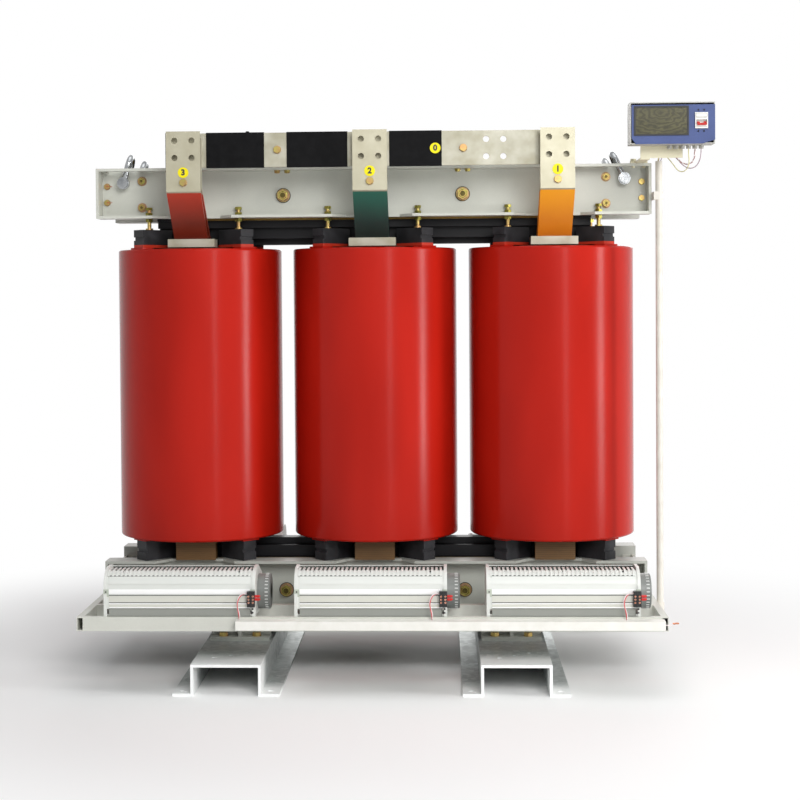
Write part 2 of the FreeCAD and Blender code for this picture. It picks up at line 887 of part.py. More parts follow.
def base_channel(x):
    top = base_top_width / 2
    wall = base_sheet
    section = [(x - top - base_foot, 0), (x - top + wall, 0), (x - top + wall, base_height - wall),
               (x + top - wall, base_height - wall), (x + top - wall, 0), (x + top + base_foot, 0),
               (x + top + base_foot, wall), (x + top, wall), (x + top, base_height),
               (x - top, base_height), (x - top, wall), (x - top - base_foot, wall)]
    body = prism_xz(section, -base_half_length, base_half_length)
    holes = []
    for y in (-foot_hole_y, foot_hole_y):
        for side in (-1, 1):
            a = x + side * (top + base_foot / 2)
            holes.append(rod(foot_hole_radius, V(a, y, -hole_gap), V(a, y, wall + hole_gap)))
    for side in (-1, 1):
        y = side * (base_half_length - side_slot_inset)
        z = base_height / 2
        holes.append(box(x - top - hole_gap, x + top + hole_gap, y - side_slot_width / 2,
                         y + side_slot_width / 2, z - side_slot_height / 2, z + side_slot_height / 2))
        for place, inset in enumerate(top_hole_insets):
            a = x + top_hole_step * (place - 1)
            b = side * (base_half_length - inset)
            holes.append(rod(top_hole_radius, V(a, b, base_height - wall - hole_gap),
                             V(a, b, base_height + hole_gap)))
    for a, b in foot_bolt_places(x):
        holes.append(rod(bracket_bolt_radius + hole_gap, V(a, b, base_height - wall - hole_gap),
                         V(a, b, base_height + hole_gap)))
    return drilled(body, holes)


def foot_bolt_places(x):
    return [(x + half, side * bracket_middle) for side in (FRONT, REAR)
            for half in (-bracket_bolt_spread / 2, bracket_bolt_spread / 2)]


def foot_bracket(x, side):
    # foot plate, upright across the front of the bolts, rib in the middle, seat under the clamp
    half = bracket_width / 2
    near = side * web_inner
    far = side * flange_edge
    top = base_height + bracket_sheet
    web_y = side * (web_outer + base_sheet)
    pieces = [box(x - half, x + half, near, far, base_height, top),
              box(x - half, x + half, near, far, lower_clamp_bottom - bracket_sheet, lower_clamp_bottom),
              box(x - half, x + half, web_y, web_y + side * bracket_sheet, base_height, lower_clamp_bottom),
              box(x - bracket_sheet / 2, x + bracket_sheet / 2, near, far - side * bracket_sheet,
                  base_height, lower_clamp_bottom)]
    body = fused(pieces)
    holes = [rod(bracket_bolt_radius + hole_gap, V(a, b, base_height - hole_gap), V(a, b, top + hole_gap))
             for a, b in foot_bolt_places(x) if b * side > 0]
    return drilled(body, holes)


def foot_brackets():
    return [foot_bracket(x, side) for x in base_places for side in (FRONT, REAR)]


def foot_bolts():
    shapes = []
    for x in base_places:
        for a, b in foot_bolt_places(x):
            seat = V(a, b, base_height + bracket_sheet)
            shapes.append(screw(bracket_bolt_radius, bracket_bolt_flats, bracket_bolt_head, seat, AXIS_Z,
                                bracket_sheet + base_sheet + bracket_bolt_head,
                                bracket_bolt_head - washer_thick, bracket_sheet + base_sheet))
    return shapes


# Low-voltage bars on the front

def offset_line(points, thick):
    normals = []
    for a, b in zip(points, points[1:]):
        length = math.hypot(b[0] - a[0], b[1] - a[1])
        normals.append(((a[1] - b[1]) / length, (b[0] - a[0]) / length))
    shifted = []
    for place, (u, z) in enumerate(points):
        before = normals[max(place - 1, 0)]
        after = normals[min(place, len(normals) - 1)]
        share = 1 + before[0] * after[0] + before[1] * after[1]
        shifted.append((u + thick * (before[0] + after[0]) / share,
                        z + thick * (before[1] + after[1]) / share))
    return shifted


def bent_bar(x, width, points):
    outline = points + list(reversed(offset_line(points, bar_thick)))
    return prism_yz([(-u, z) for u, z in outline], x - width / 2, x + width / 2)


def four_holes(x, middle_z, u, thick):
    half = drill_pitch / 2
    near = -u - hole_gap
    far = -u + thick + hole_gap
    return [rod(drill_radius, V(x + a, near, middle_z + b), V(x + a, far, middle_z + b))
            for a in (-half, half) for b in (-half, half)]


def bar_hole(radius, x, z, u, thick):
    return rod(radius, V(x, -u - hole_gap, z), V(x, -u + thick + hole_gap, z))


def riser(x):
    points = [(terminal_reach - riser_foot, terminal_top), (terminal_reach, terminal_top),
              (riser_plane, riser_bend), (riser_plane, riser_top)]
    holes = four_holes(x, riser_top - riser_drill_inset - drill_pitch / 2, riser_plane, bar_thick)
    bolt_z = riser_top - riser_bolt_drop
    holes.append(bar_hole(bar_bolt_radius + hole_gap, x, bolt_z, riser_plane, bar_thick))
    return drilled(bent_bar(x, bar_width, points), holes)


def link_bolt_places(x):
    z = neutral_top - neutral_height / 2
    return [(x + half, z) for half in (-link_bolt_spread / 2, link_bolt_spread / 2)]


def neutral_link(x):
    near = low_coil_inner + hole_gap
    points = [(near, terminal_top), (near + link_foot, terminal_top),
              (link_plane, link_bend), (link_plane, link_top)]
    holes = [bar_hole(bar_bolt_radius + hole_gap, a, z, link_plane, bar_thick)
             for a, z in link_bolt_places(x) + [(x, riser_top - riser_bolt_drop)]]
    return drilled(bent_bar(x, bar_width, points), holes)


def terminal_bars():
    shapes = []
    for x in leg_places:
        half = terminal_width / 2
        near = low_coil_inner + hole_gap
        split = near + inner_terminal_depth
        shapes.append(box(x - half, x + half, -near, -split, upper_seat, terminal_top))
        shapes.append(box(x - half, x + half, -split - terminal_gap, -terminal_reach,
                          upper_seat, terminal_top))
    return shapes


def neutral_terminal_x():
    return neutral_right - neutral_drill_inset


def neutral_bar():
    bar = box(neutral_left, neutral_right, -neutral_plane, -neutral_plane + bar_thick,
              neutral_top - neutral_height, neutral_top)
    middle = neutral_top - neutral_height / 2
    holes = four_holes(neutral_terminal_x(), middle, neutral_plane, bar_thick)
    places = [(x, middle) for x in core_bolt_places]
    for x in leg_places:
        places += link_bolt_places(x)
    holes += [bar_hole(bar_bolt_radius + hole_gap, x, z, neutral_plane, bar_thick) for x, z in places]
    return drilled(bar, holes)


def neutral_sleeves():
    shapes = []
    for x0, x1 in sleeve_spans:
        outer = box(x0, x1, -neutral_plane - sleeve_wall, -neutral_plane + bar_thick + sleeve_wall,
                    neutral_top - neutral_height - sleeve_wall, neutral_top + sleeve_wall)
        inner = box(x0, x1, -neutral_plane, -neutral_plane + bar_thick,
                    neutral_top - neutral_height, neutral_top)
        shapes.append(outer.cut(inner))
    return shapes


def bar_support(x):
    # a folded steel angle from the clamp's top flange to the neutral bar
    half = support_width / 2
    front = neutral_plane - bar_thick - support_gap
    top = neutral_top - neutral_height / 2 + support_width / 2
    pieces = [box(x - half, x + half, -web_outer - support_sheet, -front, upper_clamp_top,
                  upper_clamp_top + support_sheet),
              box(x - half, x + half, -front, -front + support_sheet, upper_clamp_top, top)]
    middle = neutral_top - neutral_height / 2
    holes = [bar_hole(bar_bolt_radius + hole_gap, x, middle, front, support_sheet)]
    holes += [rod(end_bolt_radius + hole_gap, V(a, b, upper_clamp_top - hole_gap),
                  V(a, b, upper_clamp_top + support_sheet + hole_gap))
              for a, b in support_bolt_places() if abs(a - x) < support_width]
    return drilled(fused(pieces), holes)


def spacer(x, z, u0, u1):
    return tube(spacer_radius, bar_bolt_radius + hole_gap, V(x, -u0, z), V(x, -u1, z))


def bar_supports():
    return [bar_support(x) for x in core_bolt_places]


def bar_spacers():
    middle = neutral_top - neutral_height / 2
    shapes = [spacer(x, middle, neutral_plane - bar_thick - support_gap, neutral_plane - bar_thick)
              for x in core_bolt_places]
    z = riser_top - riser_bolt_drop
    shapes += [spacer(x, z, link_plane, riser_plane - bar_thick) for x in leg_places]
    return shapes


def bar_bolt(x, z, u, grip):
    return screw(bar_bolt_radius, bar_bolt_flats, bar_bolt_head, V(x, -u, z), V(0, -1, 0),
                 grip + washer_thick + bar_bolt_head + hole_gap, bar_bolt_head, grip)


def bar_bolts():
    shapes = []
    for x in leg_places:
        grip = riser_plane - link_plane + bar_thick
        shapes.append(bar_bolt(x, riser_top - riser_bolt_drop, riser_plane, grip))
        for a, z in link_bolt_places(x):
            shapes.append(bar_bolt(a, z, link_plane, 2 * bar_thick))
    middle = neutral_top - neutral_height / 2
    for x in core_bolt_places:
        shapes.append(bar_bolt(x, middle, neutral_plane, bar_thick + support_gap + support_sheet))
    for x, y in support_bolt_places():
        seat = V(x, y, upper_clamp_top + support_sheet)
        grip = support_sheet + clamp_sheet
        shapes.append(screw(end_bolt_radius, end_bolt_flats, end_bolt_head, seat, AXIS_Z,
                            grip + washer_thick + end_bolt_head + hole_gap, end_bolt_head, grip))
    return shapes


def phase_discs():
    z = riser_top - disc_drop
    shapes = [rod(disc_radius, V(x, -riser_plane, z), V(x, -riser_plane - disc_thick, z))
              for x in leg_places]
    face = -neutral_plane - sleeve_wall
    z = neutral_top - neutral_height / 2
    shapes.append(rod(disc_radius, V(neutral_disc_x, face, z), V(neutral_disc_x, face - disc_thick, z)))
    return shapes


# Lifting shackles

def shackle(x, side, lean):
    y = side * web_middle
    bend_z = shackle_z + shackle_length - shackle_half_span - shackle_bar
    pieces = []
    for leg in (-1, 1):
        leg_y = y + leg * shackle_half_span
        pieces.append(rod(shackle_bar, V(x, leg_y, shackle_z), V(x, leg_y, bend_z)))
        pieces.append(rod(shackle_eye, V(x, leg_y - shackle_bar, shackle_z),
                          V(x, leg_y + shackle_bar, shackle_z)))
    end = Part.Face(Part.Wire(Part.makeCircle(shackle_bar, V(x, y + shackle_half_span, bend_z), AXIS_Z)))
    pieces.append(end.revolve(V(x, y, bend_z), AXIS_X, half_round))
    reach = shackle_half_span + 2 * shackle_bar
    hole = rod(shackle_pin + running_fit, V(x, y - reach, shackle_z), V(x, y + reach, shackle_z))
    body = fused(pieces).cut(hole)
    body.rotate(V(x, y, shackle_z), AXIS_Y, lean)
    return body


def shackle_pins():
    shapes = []
    near = shackle_half_span + shackle_bar + hole_gap
    for side in (FRONT, REAR):
        for x in (-shackle_x, shackle_x):
            y = side * web_middle
            far = near + pin_head_thick
            shapes.append(fused([
                rod(shackle_pin, V(x, y - near, shackle_z), V(x, y + near, shackle_z)),
                rod(pin_head, V(x, y - far, shackle_z), V(x, y - near, shackle_z)),
                rod(pin_head, V(x, y + near, shackle_z), V(x, y + far, shackle_z))]))
    return shapes


# Fan tray and cable trunking

def hollow_bar(x0, x1, y0, y1, z0, z1, wall, along):
    outer = box(x0, x1, y0, y1, z0, z1)
    if along == "x":
        inner = box(x0, x1, y0 + wall, y1 - wall, z0 + wall, z1 - wall)
    else:
        inner = box(x0 + wall, x1 - wall, y0, y1, z0 + wall, z1 - wall)
    return outer.cut(inner)


def tray_frame():
    shapes = []
    for side in (-1, 1):
        near = side * lower_clamp_half
        far = near + side * tube_width
        shapes.append(hollow_bar(min(near, far), max(near, far), -tray_half_depth, tray_half_depth,
                                 tray_bottom, tray_top, tube_wall, "y"))
    for y in (-tray_half_depth, -inner_rail - tube_width, inner_rail, tray_half_depth - tube_width):
        shapes.append(hollow_bar(-lower_clamp_half, lower_clamp_half, y, y + tube_width,
                                 tray_bottom, tray_top, tube_wall, "x"))
    return shapes


def cable_trunking():
    front = hollow_bar(trunk_left, trunk_right, -trunk_back - trunk_depth, -trunk_back,
                       trunk_bottom, trunk_bottom + trunk_height, trunk_wall, "x")
    return [front, turned_z(front)]


# Cross-flow fans

def fan_section(x0, x1, shrink, floor):
    front = fan_front - shrink
    back = fan_back + shrink
    top = fan_top - shrink
    bend = fan_corner - shrink
    swing = bend * (1 - block_diagonal_ratio)
    shoulder = top - bend
    slope = tray_top + fan_back_height
    points = [V(x0, -back, floor), V(x0, -front, floor), V(x0, -front, shoulder),
              V(x0, -front + swing, top - swing), V(x0, -front + bend, top),
              V(x0, -fan_outlet_back + shrink, top), V(x0, -back, slope)]
    edges = [Part.makeLine(points[0], points[1]), Part.makeLine(points[1], points[2]),
             Part.Arc(points[2], points[3], points[4]).toShape(),
             Part.makeLine(points[4], points[5]), Part.makeLine(points[5], points[6]),
             Part.makeLine(points[6], points[0])]
    return Part.Face(Part.Wire(edges)).extrude(V(x1 - x0, 0, 0))


def fan_housing(x):
    left = x - fan_length / 2
    right = x + fan_length / 2
    near = left + fan_cap
    far = right - fan_cap
    caps = [fan_section(left, near, 0, tray_top), fan_section(far, right, 0, tray_top)]
    skin = fan_section(near, far, fan_cap_lip, tray_top + fan_cap_lip)
    hollow = fan_section(near, far, fan_cap_lip + fan_sheet, tray_top + fan_cap_lip + fan_sheet)
    outlet = box(near, far, -fan_outlet_back, -fan_outlet_front, fan_top - fan_corner / 2, fan_top)
    inlet = box(near, far, -fan_front, -rotor_u - rotor_radius, tray_top + 2 * fan_cap_lip,
                tray_top + fan_panel_low)
    under = box(near, far, -rotor_u + rotor_radius, -rotor_u - rotor_radius + fan_cap_lip * 2,
                tray_top, tray_top + 2 * fan_cap_lip)
    shell = drilled(skin.cut(hollow), [outlet, inlet, under])
    body = fused(caps + [shell])
    return body.cut(rod(shaft_radius + running_fit, V(left, -rotor_u, rotor_z), V(right, -rotor_u, rotor_z)))


def fan_rotor(x):
    left = x - fan_length / 2
    right = x + fan_length / 2
    near = left + fan_cap + rotor_end_gap
    far = right - fan_cap - rotor_end_gap
    pieces = [rod(shaft_radius, V(left + fan_cap - shaft_grip, -rotor_u, rotor_z),
                  V(right + shaft_grip, -rotor_u, rotor_z))]
    for place in (near, (near + far) / 2, far - rotor_disc):
        start = V(place, -rotor_u, rotor_z)
        pieces.append(rod(rotor_radius, start, start + V(rotor_disc, 0, 0)))
    for blade in range(rotor_blades):
        strip = box(near, far, -rotor_blade_thick / 2, rotor_blade_thick / 2,
                    rotor_radius - rotor_blade_depth, rotor_radius - running_fit)
        strip.rotate(V(0, 0, 0), AXIS_X, full_turn / rotor_blades * blade)
        pieces.append(moved(strip, 0, -rotor_u, rotor_z))
    return pieces[0].fuse(pieces[1:])


def fan_motor(x):
    start = x + fan_length / 2
    end = start + motor_length
    body = rod(motor_radius, V(start, -rotor_u, rotor_z), V(end, -rotor_u, rotor_z))
    rims = [edge for edge in body.Edges if abs(edge.CenterOfMass.x - end) < same_place]
    body = body.makeFillet(motor_edge, rims)
    bore = rod(shaft_radius + running_fit, V(start, -rotor_u, rotor_z),
               V(start + shaft_grip + hole_gap, -rotor_u, rotor_z))
    return body.cut(bore)


def fan_block_left(x):
    return x + fan_length / 2 - fan_block_width


def fan_block(x):
    z0 = tray_top + fan_block_rise
    return box(fan_block_left(x), x + fan_length / 2, -fan_front, -fan_front - fan_block_depth,
               z0, z0 + fan_block_height)


# Rear connections

def stud(x, z, face, grip):
    nut_y = coil_outer + face + grip
    return fused([rod(stud_radius, V(x, coil_outer, z), V(x, nut_y + stud_nut + washer_thick, z)),
                  hexagon(stud_flats, V(x, nut_y, z), V(x, nut_y + stud_nut, z))])


def tap_link_pair(x):
    places = tap_places(x)
    return places[2], places[3]


def high_studs():
    shapes = []
    for x in leg_places:
        joined = tap_link_pair(x)
        for a, z in tap_places(x):
            shapes.append(stud(a, z, tap_reach, link_thick if (a, z) in joined else 0))
        for z in high_terminal_heights:
            grip = delta_thick if z == high_terminal_heights[0] else 2 * delta_thick
            shapes.append(stud(x, z, terminal_boss_reach, grip))
    return shapes


def strip_between(a, b, y0, y1, width):
    length = math.hypot(b[0] - a[0], b[1] - a[1])
    turn = math.degrees(math.atan2(b[1] - a[1], b[0] - a[0]))
    half = width / 2
    shape = box(-half, length + half, y0, y1, -half, half)
    shape.rotate(V(0, 0, 0), AXIS_Y, -turn)
    return moved(shape, a[0], 0, a[1])


def delta_route(start, end, level, y0, y1):
    low, high = high_terminal_heights
    side = start + delta_side
    corners = [(start, low), (side, low), (side, level), (end, level), (end, high)]
    return fused([strip_between(a, b, y0, y1, delta_width) for a, b in zip(corners, corners[1:])])


def high_bars():
    low, high = high_terminal_heights
    y0 = coil_outer + terminal_boss_reach
    y1 = y0 + delta_thick
    left, middle, right = leg_places
    first = coil_top + delta_rise
    second = first + delta_width + delta_gap
    routes = ((left, middle, first), (middle, right, first), (right, left, second))
    holes = [rod(stud_radius, V(x, y0 - hole_gap, z), V(x, y1 + delta_thick + hole_gap, z))
             for x in leg_places for z in (low, high)]
    bars = [drilled(delta_route(*route, y0, y1), holes) for route in routes]
    for x in leg_places:
        lug = strip_between((x, high), (x, high - delta_lug), y1, y1 + delta_thick, delta_width)
        drill = rod(delta_lug_drill, V(x, y1 - hole_gap, high - delta_lug),
                    V(x, y1 + delta_thick + hole_gap, high - delta_lug))
        bars.append(drilled(lug, holes + [drill]))
        (xa, za), (xb, zb) = tap_link_pair(x)
        face = coil_outer + tap_reach
        link = strip_between((xa, za), (xb, zb), face, face + link_thick, link_width)
        ends = [rod(stud_radius, V(a, face - hole_gap, z), V(a, face + link_thick + hole_gap, z))
                for a, z in ((xa, za), (xb, zb))]
        bars.append(drilled(link, ends))
    return bars


# Control box with its breaker, window, bracket and glands

def panel_outline():
    return [(box_left, box_top), (box_right, box_top), (box_right, box_bottom + panel_right_drop),
            (box_right - panel_right_cut, box_bottom), (box_left + panel_left_cut, box_bottom),
            (box_left, box_bottom + panel_left_drop)]


def window_hole(gap):
    x0 = box_left + window_inset - gap
    x1 = box_left + window_inset + window_width + gap
    z0 = box_bottom + window_low - gap
    z1 = box_bottom + window_low + window_high + gap
    return x0, x1, z0, z1


def breaker_hole(gap):
    x1 = box_right - breaker_inset
    x0 = x1 - breaker_width
    z0 = box_bottom + breaker_low
    return x0 - gap, x1 + gap, z0 - gap, z0 + breaker_high + gap


def control_panel():
    panel = prism_xz(panel_outline(), -box_front, -box_front + panel_thick)
    holes = []
    for x0, x1, z0, z1 in (window_hole(fit_gap), breaker_hole(fit_gap)):
        holes.append(box(x0, x1, -box_front - hole_gap, -box_front + panel_thick + hole_gap, z0, z1))
    return drilled(panel, holes)


def control_box():
    front = -box_front + panel_thick
    back = -box_front + box_depth
    left = box_left - box_brim / 2
    top = box_top + box_brim
    shell = box(left, box_right, front, back, box_bottom, top)
    room = box(left + box_wall, box_right - box_wall, front, back - box_wall,
               box_bottom + box_wall, top - box_wall)
    holes = [rod(arm_bolt_radius + hole_gap, V(x, back - box_wall - hole_gap, z), V(x, back + hole_gap, z))
             for x, z in box_bolt_places()]
    body = drilled(shell.cut(room), holes)
    glands = []
    for place in range(gland_count):
        x = box_left + gland_first + place * gland_pitch
        low = box_bottom - gland_length
        glands.append(fused([rod(gland_radius, V(x, -gland_y, low), V(x, -gland_y, box_bottom)),
                             hexagon(2 * gland_radius, V(x, -gland_y, box_bottom - gland_length / 2),
                                     V(x, -gland_y, box_bottom))]))
    return [body] + glands


def control_window():
    x0, x1, z0, z1 = window_hole(0)
    return box(x0, x1, -box_front - window_proud, -box_front + panel_thick, z0, z1)


def toggle_axis():
    x0, x1, z0, z1 = breaker_hole(0)
    return (x0 + x1) / 2, -box_front - breaker_nose + toggle_hub, (z0 + z1) / 2 - toggle_drop


def breaker_body():
    x0, x1, z0, z1 = breaker_hole(0)
    y0 = -box_front - breaker_nose
    body = box(x0, x1, y0, y0 + breaker_body_depth, z0, z1)
    x, y, z = toggle_axis()
    half = toggle_half_width + fit_gap
    well = rod(toggle_well, V(x - half, y, z), V(x + half, y, z))
    pin = rod(toggle_pin + running_fit, V(x0 - hole_gap, y, z), V(x1 + hole_gap, y, z))
    return drilled(body, [well, pin])


def breaker_toggle():
    x, y, z = toggle_axis()
    half = toggle_half_width
    pin_half = breaker_width / 2 - running_fit
    arm = box(x - half, x + half, y - toggle_reach, y, z - toggle_bar / 2, z + toggle_bar / 2)
    arm.rotate(V(x, y, z), AXIS_X, toggle_tilt)
    return fused([rod(toggle_hub, V(x - half, y, z), V(x + half, y, z)),
                  rod(toggle_pin, V(x - pin_half, y, z), V(x + pin_half, y, z)), arm])


def box_bolt_places():
    z = box_bottom + arm_plate_high / 2
    return [(arm_left + arm_width, z), (arm_left + arm_plate_width - arm_width, z)]


def control_bracket():
    back = -box_front + box_depth
    low = box_bottom - arm_plate_low
    high = box_bottom + arm_plate_high
    roof = upper_clamp_top + arm_sheet
    foot = box(arm_left - arm_foot_start, arm_left - arm_foot_start + arm_foot, -arm_start, -flange_edge,
               upper_clamp_top, roof)
    pieces = [foot,
              box(arm_left, arm_left + arm_width, -arm_start, back, upper_clamp_top, roof),
              box(arm_left, arm_left + arm_width, back, back + arm_sheet, upper_clamp_top, low + arm_sheet),
              box(arm_left, arm_left + arm_plate_width, back, back + arm_sheet, low, high)]
    holes = [rod(arm_bolt_radius + hole_gap, V(x, back - hole_gap, z), V(x, back + arm_sheet + hole_gap, z))
             for x, z in box_bolt_places()]
    holes += [rod(end_bolt_radius + hole_gap, V(x, y, upper_clamp_top - hole_gap), V(x, y, roof + hole_gap))
              for x, y in arm_bolt_places()]
    bolts = [screw(arm_bolt_radius, arm_bolt_flats, arm_bolt_head, V(x, back + arm_sheet, z), AXIS_Y,
                   arm_sheet + box_wall + arm_bolt_head) for x, z in box_bolt_places()]
    bolts += [screw(end_bolt_radius, end_bolt_flats, end_bolt_head, V(x, y, roof), AXIS_Z,
                    arm_sheet + clamp_sheet + arm_bolt_head) for x, y in arm_bolt_places()]
    return [drilled(fused(pieces), holes)] + bolts


# Conduit with its two clips

def clip(face_x, z):
    outer = conduit_radius + clip_sheet
    half = clip_width / 2
    saddle = box(face_x, conduit_x, -conduit_y - outer, -conduit_y + outer, z - half, z + half)
    tab = box(face_x, face_x + clip_sheet, -conduit_y, -conduit_y + clip_reach, z - half, z + half)
    ring = rod(outer, V(conduit_x, -conduit_y, z - half), V(conduit_x, -conduit_y, z + half))
    bolt_y = -conduit_y + clip_reach - clip_width / 2
    body = fused([saddle, tab, ring])
    low = V(conduit_x, -conduit_y, z - half)
    high = V(conduit_x, -conduit_y, z + half)
    body = body.cut(rod(conduit_radius, low, high))
    body = body.cut(rod(arm_bolt_radius, V(face_x, bolt_y, z), V(face_x + clip_sheet, bolt_y, z)))
    bolt = screw(arm_bolt_radius, arm_bolt_flats, arm_bolt_head, V(face_x + clip_sheet, bolt_y, z), AXIS_X,
                 clip_sheet)
    return [body, bolt]


def conduit():
    pipe = tube(conduit_radius, conduit_radius - conduit_wall, V(conduit_x, -conduit_y, conduit_bottom),
                V(conduit_x, -conduit_y, conduit_top))
    high_z = tie_bolt_middle - end_bolt_spread / 2
    low_z = tray_top - low_clip_rise
    return [pipe] + clip(upper_clamp_half, high_z) + clip(lower_clamp_half + tube_width, low_z)


# Wires: straight runs joined by tangent arcs, as large as the two runs allow

def wire(name, points, radius):
    edges = []
    last = points[0]
    tightest = 0
    for before, here, after in zip(points, points[1:], points[2:]):
        back = before - here
        ahead = after - here
        short = min(back.Length, ahead.Length)
        half_turn = (math.pi - back.getAngle(ahead)) / 2
        cut = bend_share * short
        bend = cut / math.tan(half_turn)
        tightest = bend if not tightest else min(tightest, bend)
        start = here + back * (cut / back.Length)
        end = here + ahead * (cut / ahead.Length)
        inward = (back.normalize() + ahead.normalize()).normalize()
        middle = here + inward * (bend / math.cos(half_turn) - bend)
        edges.append(Part.LineSegment(last, start).toShape())
        edges.append(Part.Arc(start, middle, end).toShape())
        last = end
    edges.append(Part.LineSegment(last, points[-1]).toShape())
    path = Part.Wire(edges)
    first = Part.Wire(Part.makeCircle(radius, points[0], points[1] - points[0]))
    solid = path.makePipeShell([first], True, True)
    share = solid.Volume / (math.pi * radius ** 2 * path.Length)
    print(name, "length", round(path.Length, 1), "tightest bend", round(tightest, 1), "of its diameter",
          round(tightest / radius / 2, 1), "volume share", round(share, 4))
    return solid


def fan_lead(place, x):
    start = V(fan_block_left(x), -fan_front - fan_block_depth / 2,
              tray_top + fan_block_rise + fan_block_height - fan_block_depth / 2)
    points = [start + V(a, b, c) * route_unit for a, b, c in lead_route]
    return wire("fan lead " + place, points, lead_radius)


def control_wire(route, gland):
    start = V(conduit_x, -conduit_y, conduit_top)
    points = [start + V(a, b, c) * route_unit for a, b, c in route]
    x = box_left + gland_first + gland * gland_pitch
    end = box_bottom - gland_length
    points += [V(x, -gland_y, end - gland_run), V(x, -gland_y, end)]
    return wire("control wire", points, wire_radius)


def wires():
    leads = [fan_lead(name, x) for name, x in zip(leg_names, leg_places)]
    leads += [turned_z(lead) for lead in leads]
    return leads + [control_wire(route, index) for route, index in zip(wire_routes, wire_glands)]


# The sub-parts, one file each

save("core_lower_yoke", yoke(lower_yoke_z, core_bolt_heights[0]))
save("core_upper_yoke", yoke(upper_yoke_z, core_bolt_heights[1]))
save("core_legs", [core_leg(x) for x in leg_places])
save("leg_ties", leg_ties())
save("clamp_boards", clamp_boards())
save("upper_clamp_front", upper_clamp(FRONT))
save("upper_clamp_rear", upper_clamp(REAR))
save("lower_clamp_front", lower_clamp(FRONT))
save("lower_clamp_rear", lower_clamp(REAR))
save("end_ties", end_ties())
save("frame_bolts", frame_bolts())
save("jack_bolts", jack_bolts())
save("low_voltage_coils", [low_coil(x) for x in leg_places])
save("support_blocks", support_blocks())
save("wood_blocks", wood_blocks())
save("base_channels", [base_channel(x) for x in base_places])
save("foot_brackets", foot_brackets())
save("foot_bolts", foot_bolts())
save("terminal_bars", terminal_bars())
save("neutral_links", [neutral_link(x) for x in leg_places])
save("neutral_bar", neutral_bar())
save("neutral_sleeves", neutral_sleeves())
save("bar_supports", bar_supports())
save("bar_spacers", bar_spacers())
save("bar_bolts", bar_bolts())
save("phase_discs", phase_discs())
save("high_studs", high_studs())
save("high_bars", high_bars())
save("shackle_pins", shackle_pins())
save("tray_frame", tray_frame())
save("cable_trunking", cable_trunking())
save("control_box", control_box())
save("control_panel", control_panel())
save("control_window", control_window())
save("breaker_body", breaker_body())
save("breaker_toggle", breaker_toggle())
save("control_bracket", control_bracket())
save("conduit", conduit())
save("wires", wires())

for leg, leg_x in zip(leg_names, leg_places):
    save("high_coil_" + leg, high_coil(leg_x))
    save("riser_" + leg, riser(leg_x))
    save("fan_rotor_front_" + leg, fan_rotor(leg_x))
    save("fan_rotor_rear_" + leg, turned_z(fan_rotor(-leg_x)))

front_housings = [fan_housing(x) for x in leg_places]
save("fan_housings_front", front_housings)
save("fan_housings_rear", [turned_z(shape) for shape in front_housings])
front_fittings = [fan_motor(x) for x in leg_places]
save("fan_motors", front_fittings + [turned_z(shape) for shape in front_fittings])
front_blocks = [fan_block(x) for x in leg_places]
save("fan_blocks", front_blocks + [turned_z(shape) for shape in front_blocks])

for end, place_x, lean in (("left", -shackle_x, shackle_lean_left),
                           ("right", shackle_x, shackle_lean_right)):
    save("shackle_front_" + end, shackle(place_x, FRONT, lean))
    save("shackle_rear_" + end, shackle(place_x, REAR, lean))
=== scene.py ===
# %% [markdown]
# # A dry type transformer, dressed for its picture
# The metal frame, the coils and the bars come ready made from the CAD model, at their real place and
# size. This lesson adds what a maker's eye looks for next: the camera and the light, the finish of
# every surface, and the small fittings that are too fine for the CAD model.

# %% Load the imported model
import json
import math

import bpy
from mathutils import Matrix, Vector


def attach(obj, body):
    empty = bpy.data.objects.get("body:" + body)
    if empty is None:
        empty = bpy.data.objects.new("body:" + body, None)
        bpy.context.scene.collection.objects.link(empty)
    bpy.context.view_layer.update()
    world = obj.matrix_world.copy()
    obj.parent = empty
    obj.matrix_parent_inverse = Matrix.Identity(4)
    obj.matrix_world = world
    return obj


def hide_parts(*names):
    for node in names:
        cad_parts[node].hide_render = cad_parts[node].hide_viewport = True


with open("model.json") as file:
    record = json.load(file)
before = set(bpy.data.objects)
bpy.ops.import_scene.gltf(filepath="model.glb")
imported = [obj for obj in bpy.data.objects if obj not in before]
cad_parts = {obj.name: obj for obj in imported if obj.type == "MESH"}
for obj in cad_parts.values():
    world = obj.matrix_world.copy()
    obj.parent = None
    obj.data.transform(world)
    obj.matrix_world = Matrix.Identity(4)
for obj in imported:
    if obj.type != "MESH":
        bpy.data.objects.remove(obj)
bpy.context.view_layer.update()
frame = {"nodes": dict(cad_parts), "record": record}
nodes = frame["nodes"]
MM = 0.001
LEGS = {"left": -0.543, "middle": 0.0, "right": 0.543}

# %% [markdown]
# ## The camera
# The photograph was taken from about five metres away, a little to the right of the middle coil and
# at the height of the coils. Its place, its small turns and its focal length were solved from thirty
# points whose real place is known, such as the corners of the clamps, so straight lines fall where
# they do in the picture. The lens shift stands for the photograph's uneven crop.

# %% Camera
PICTURE = 800
FOCAL_PIXELS = 1692.6
LENS_CENTRE = (372.0, 336.5)

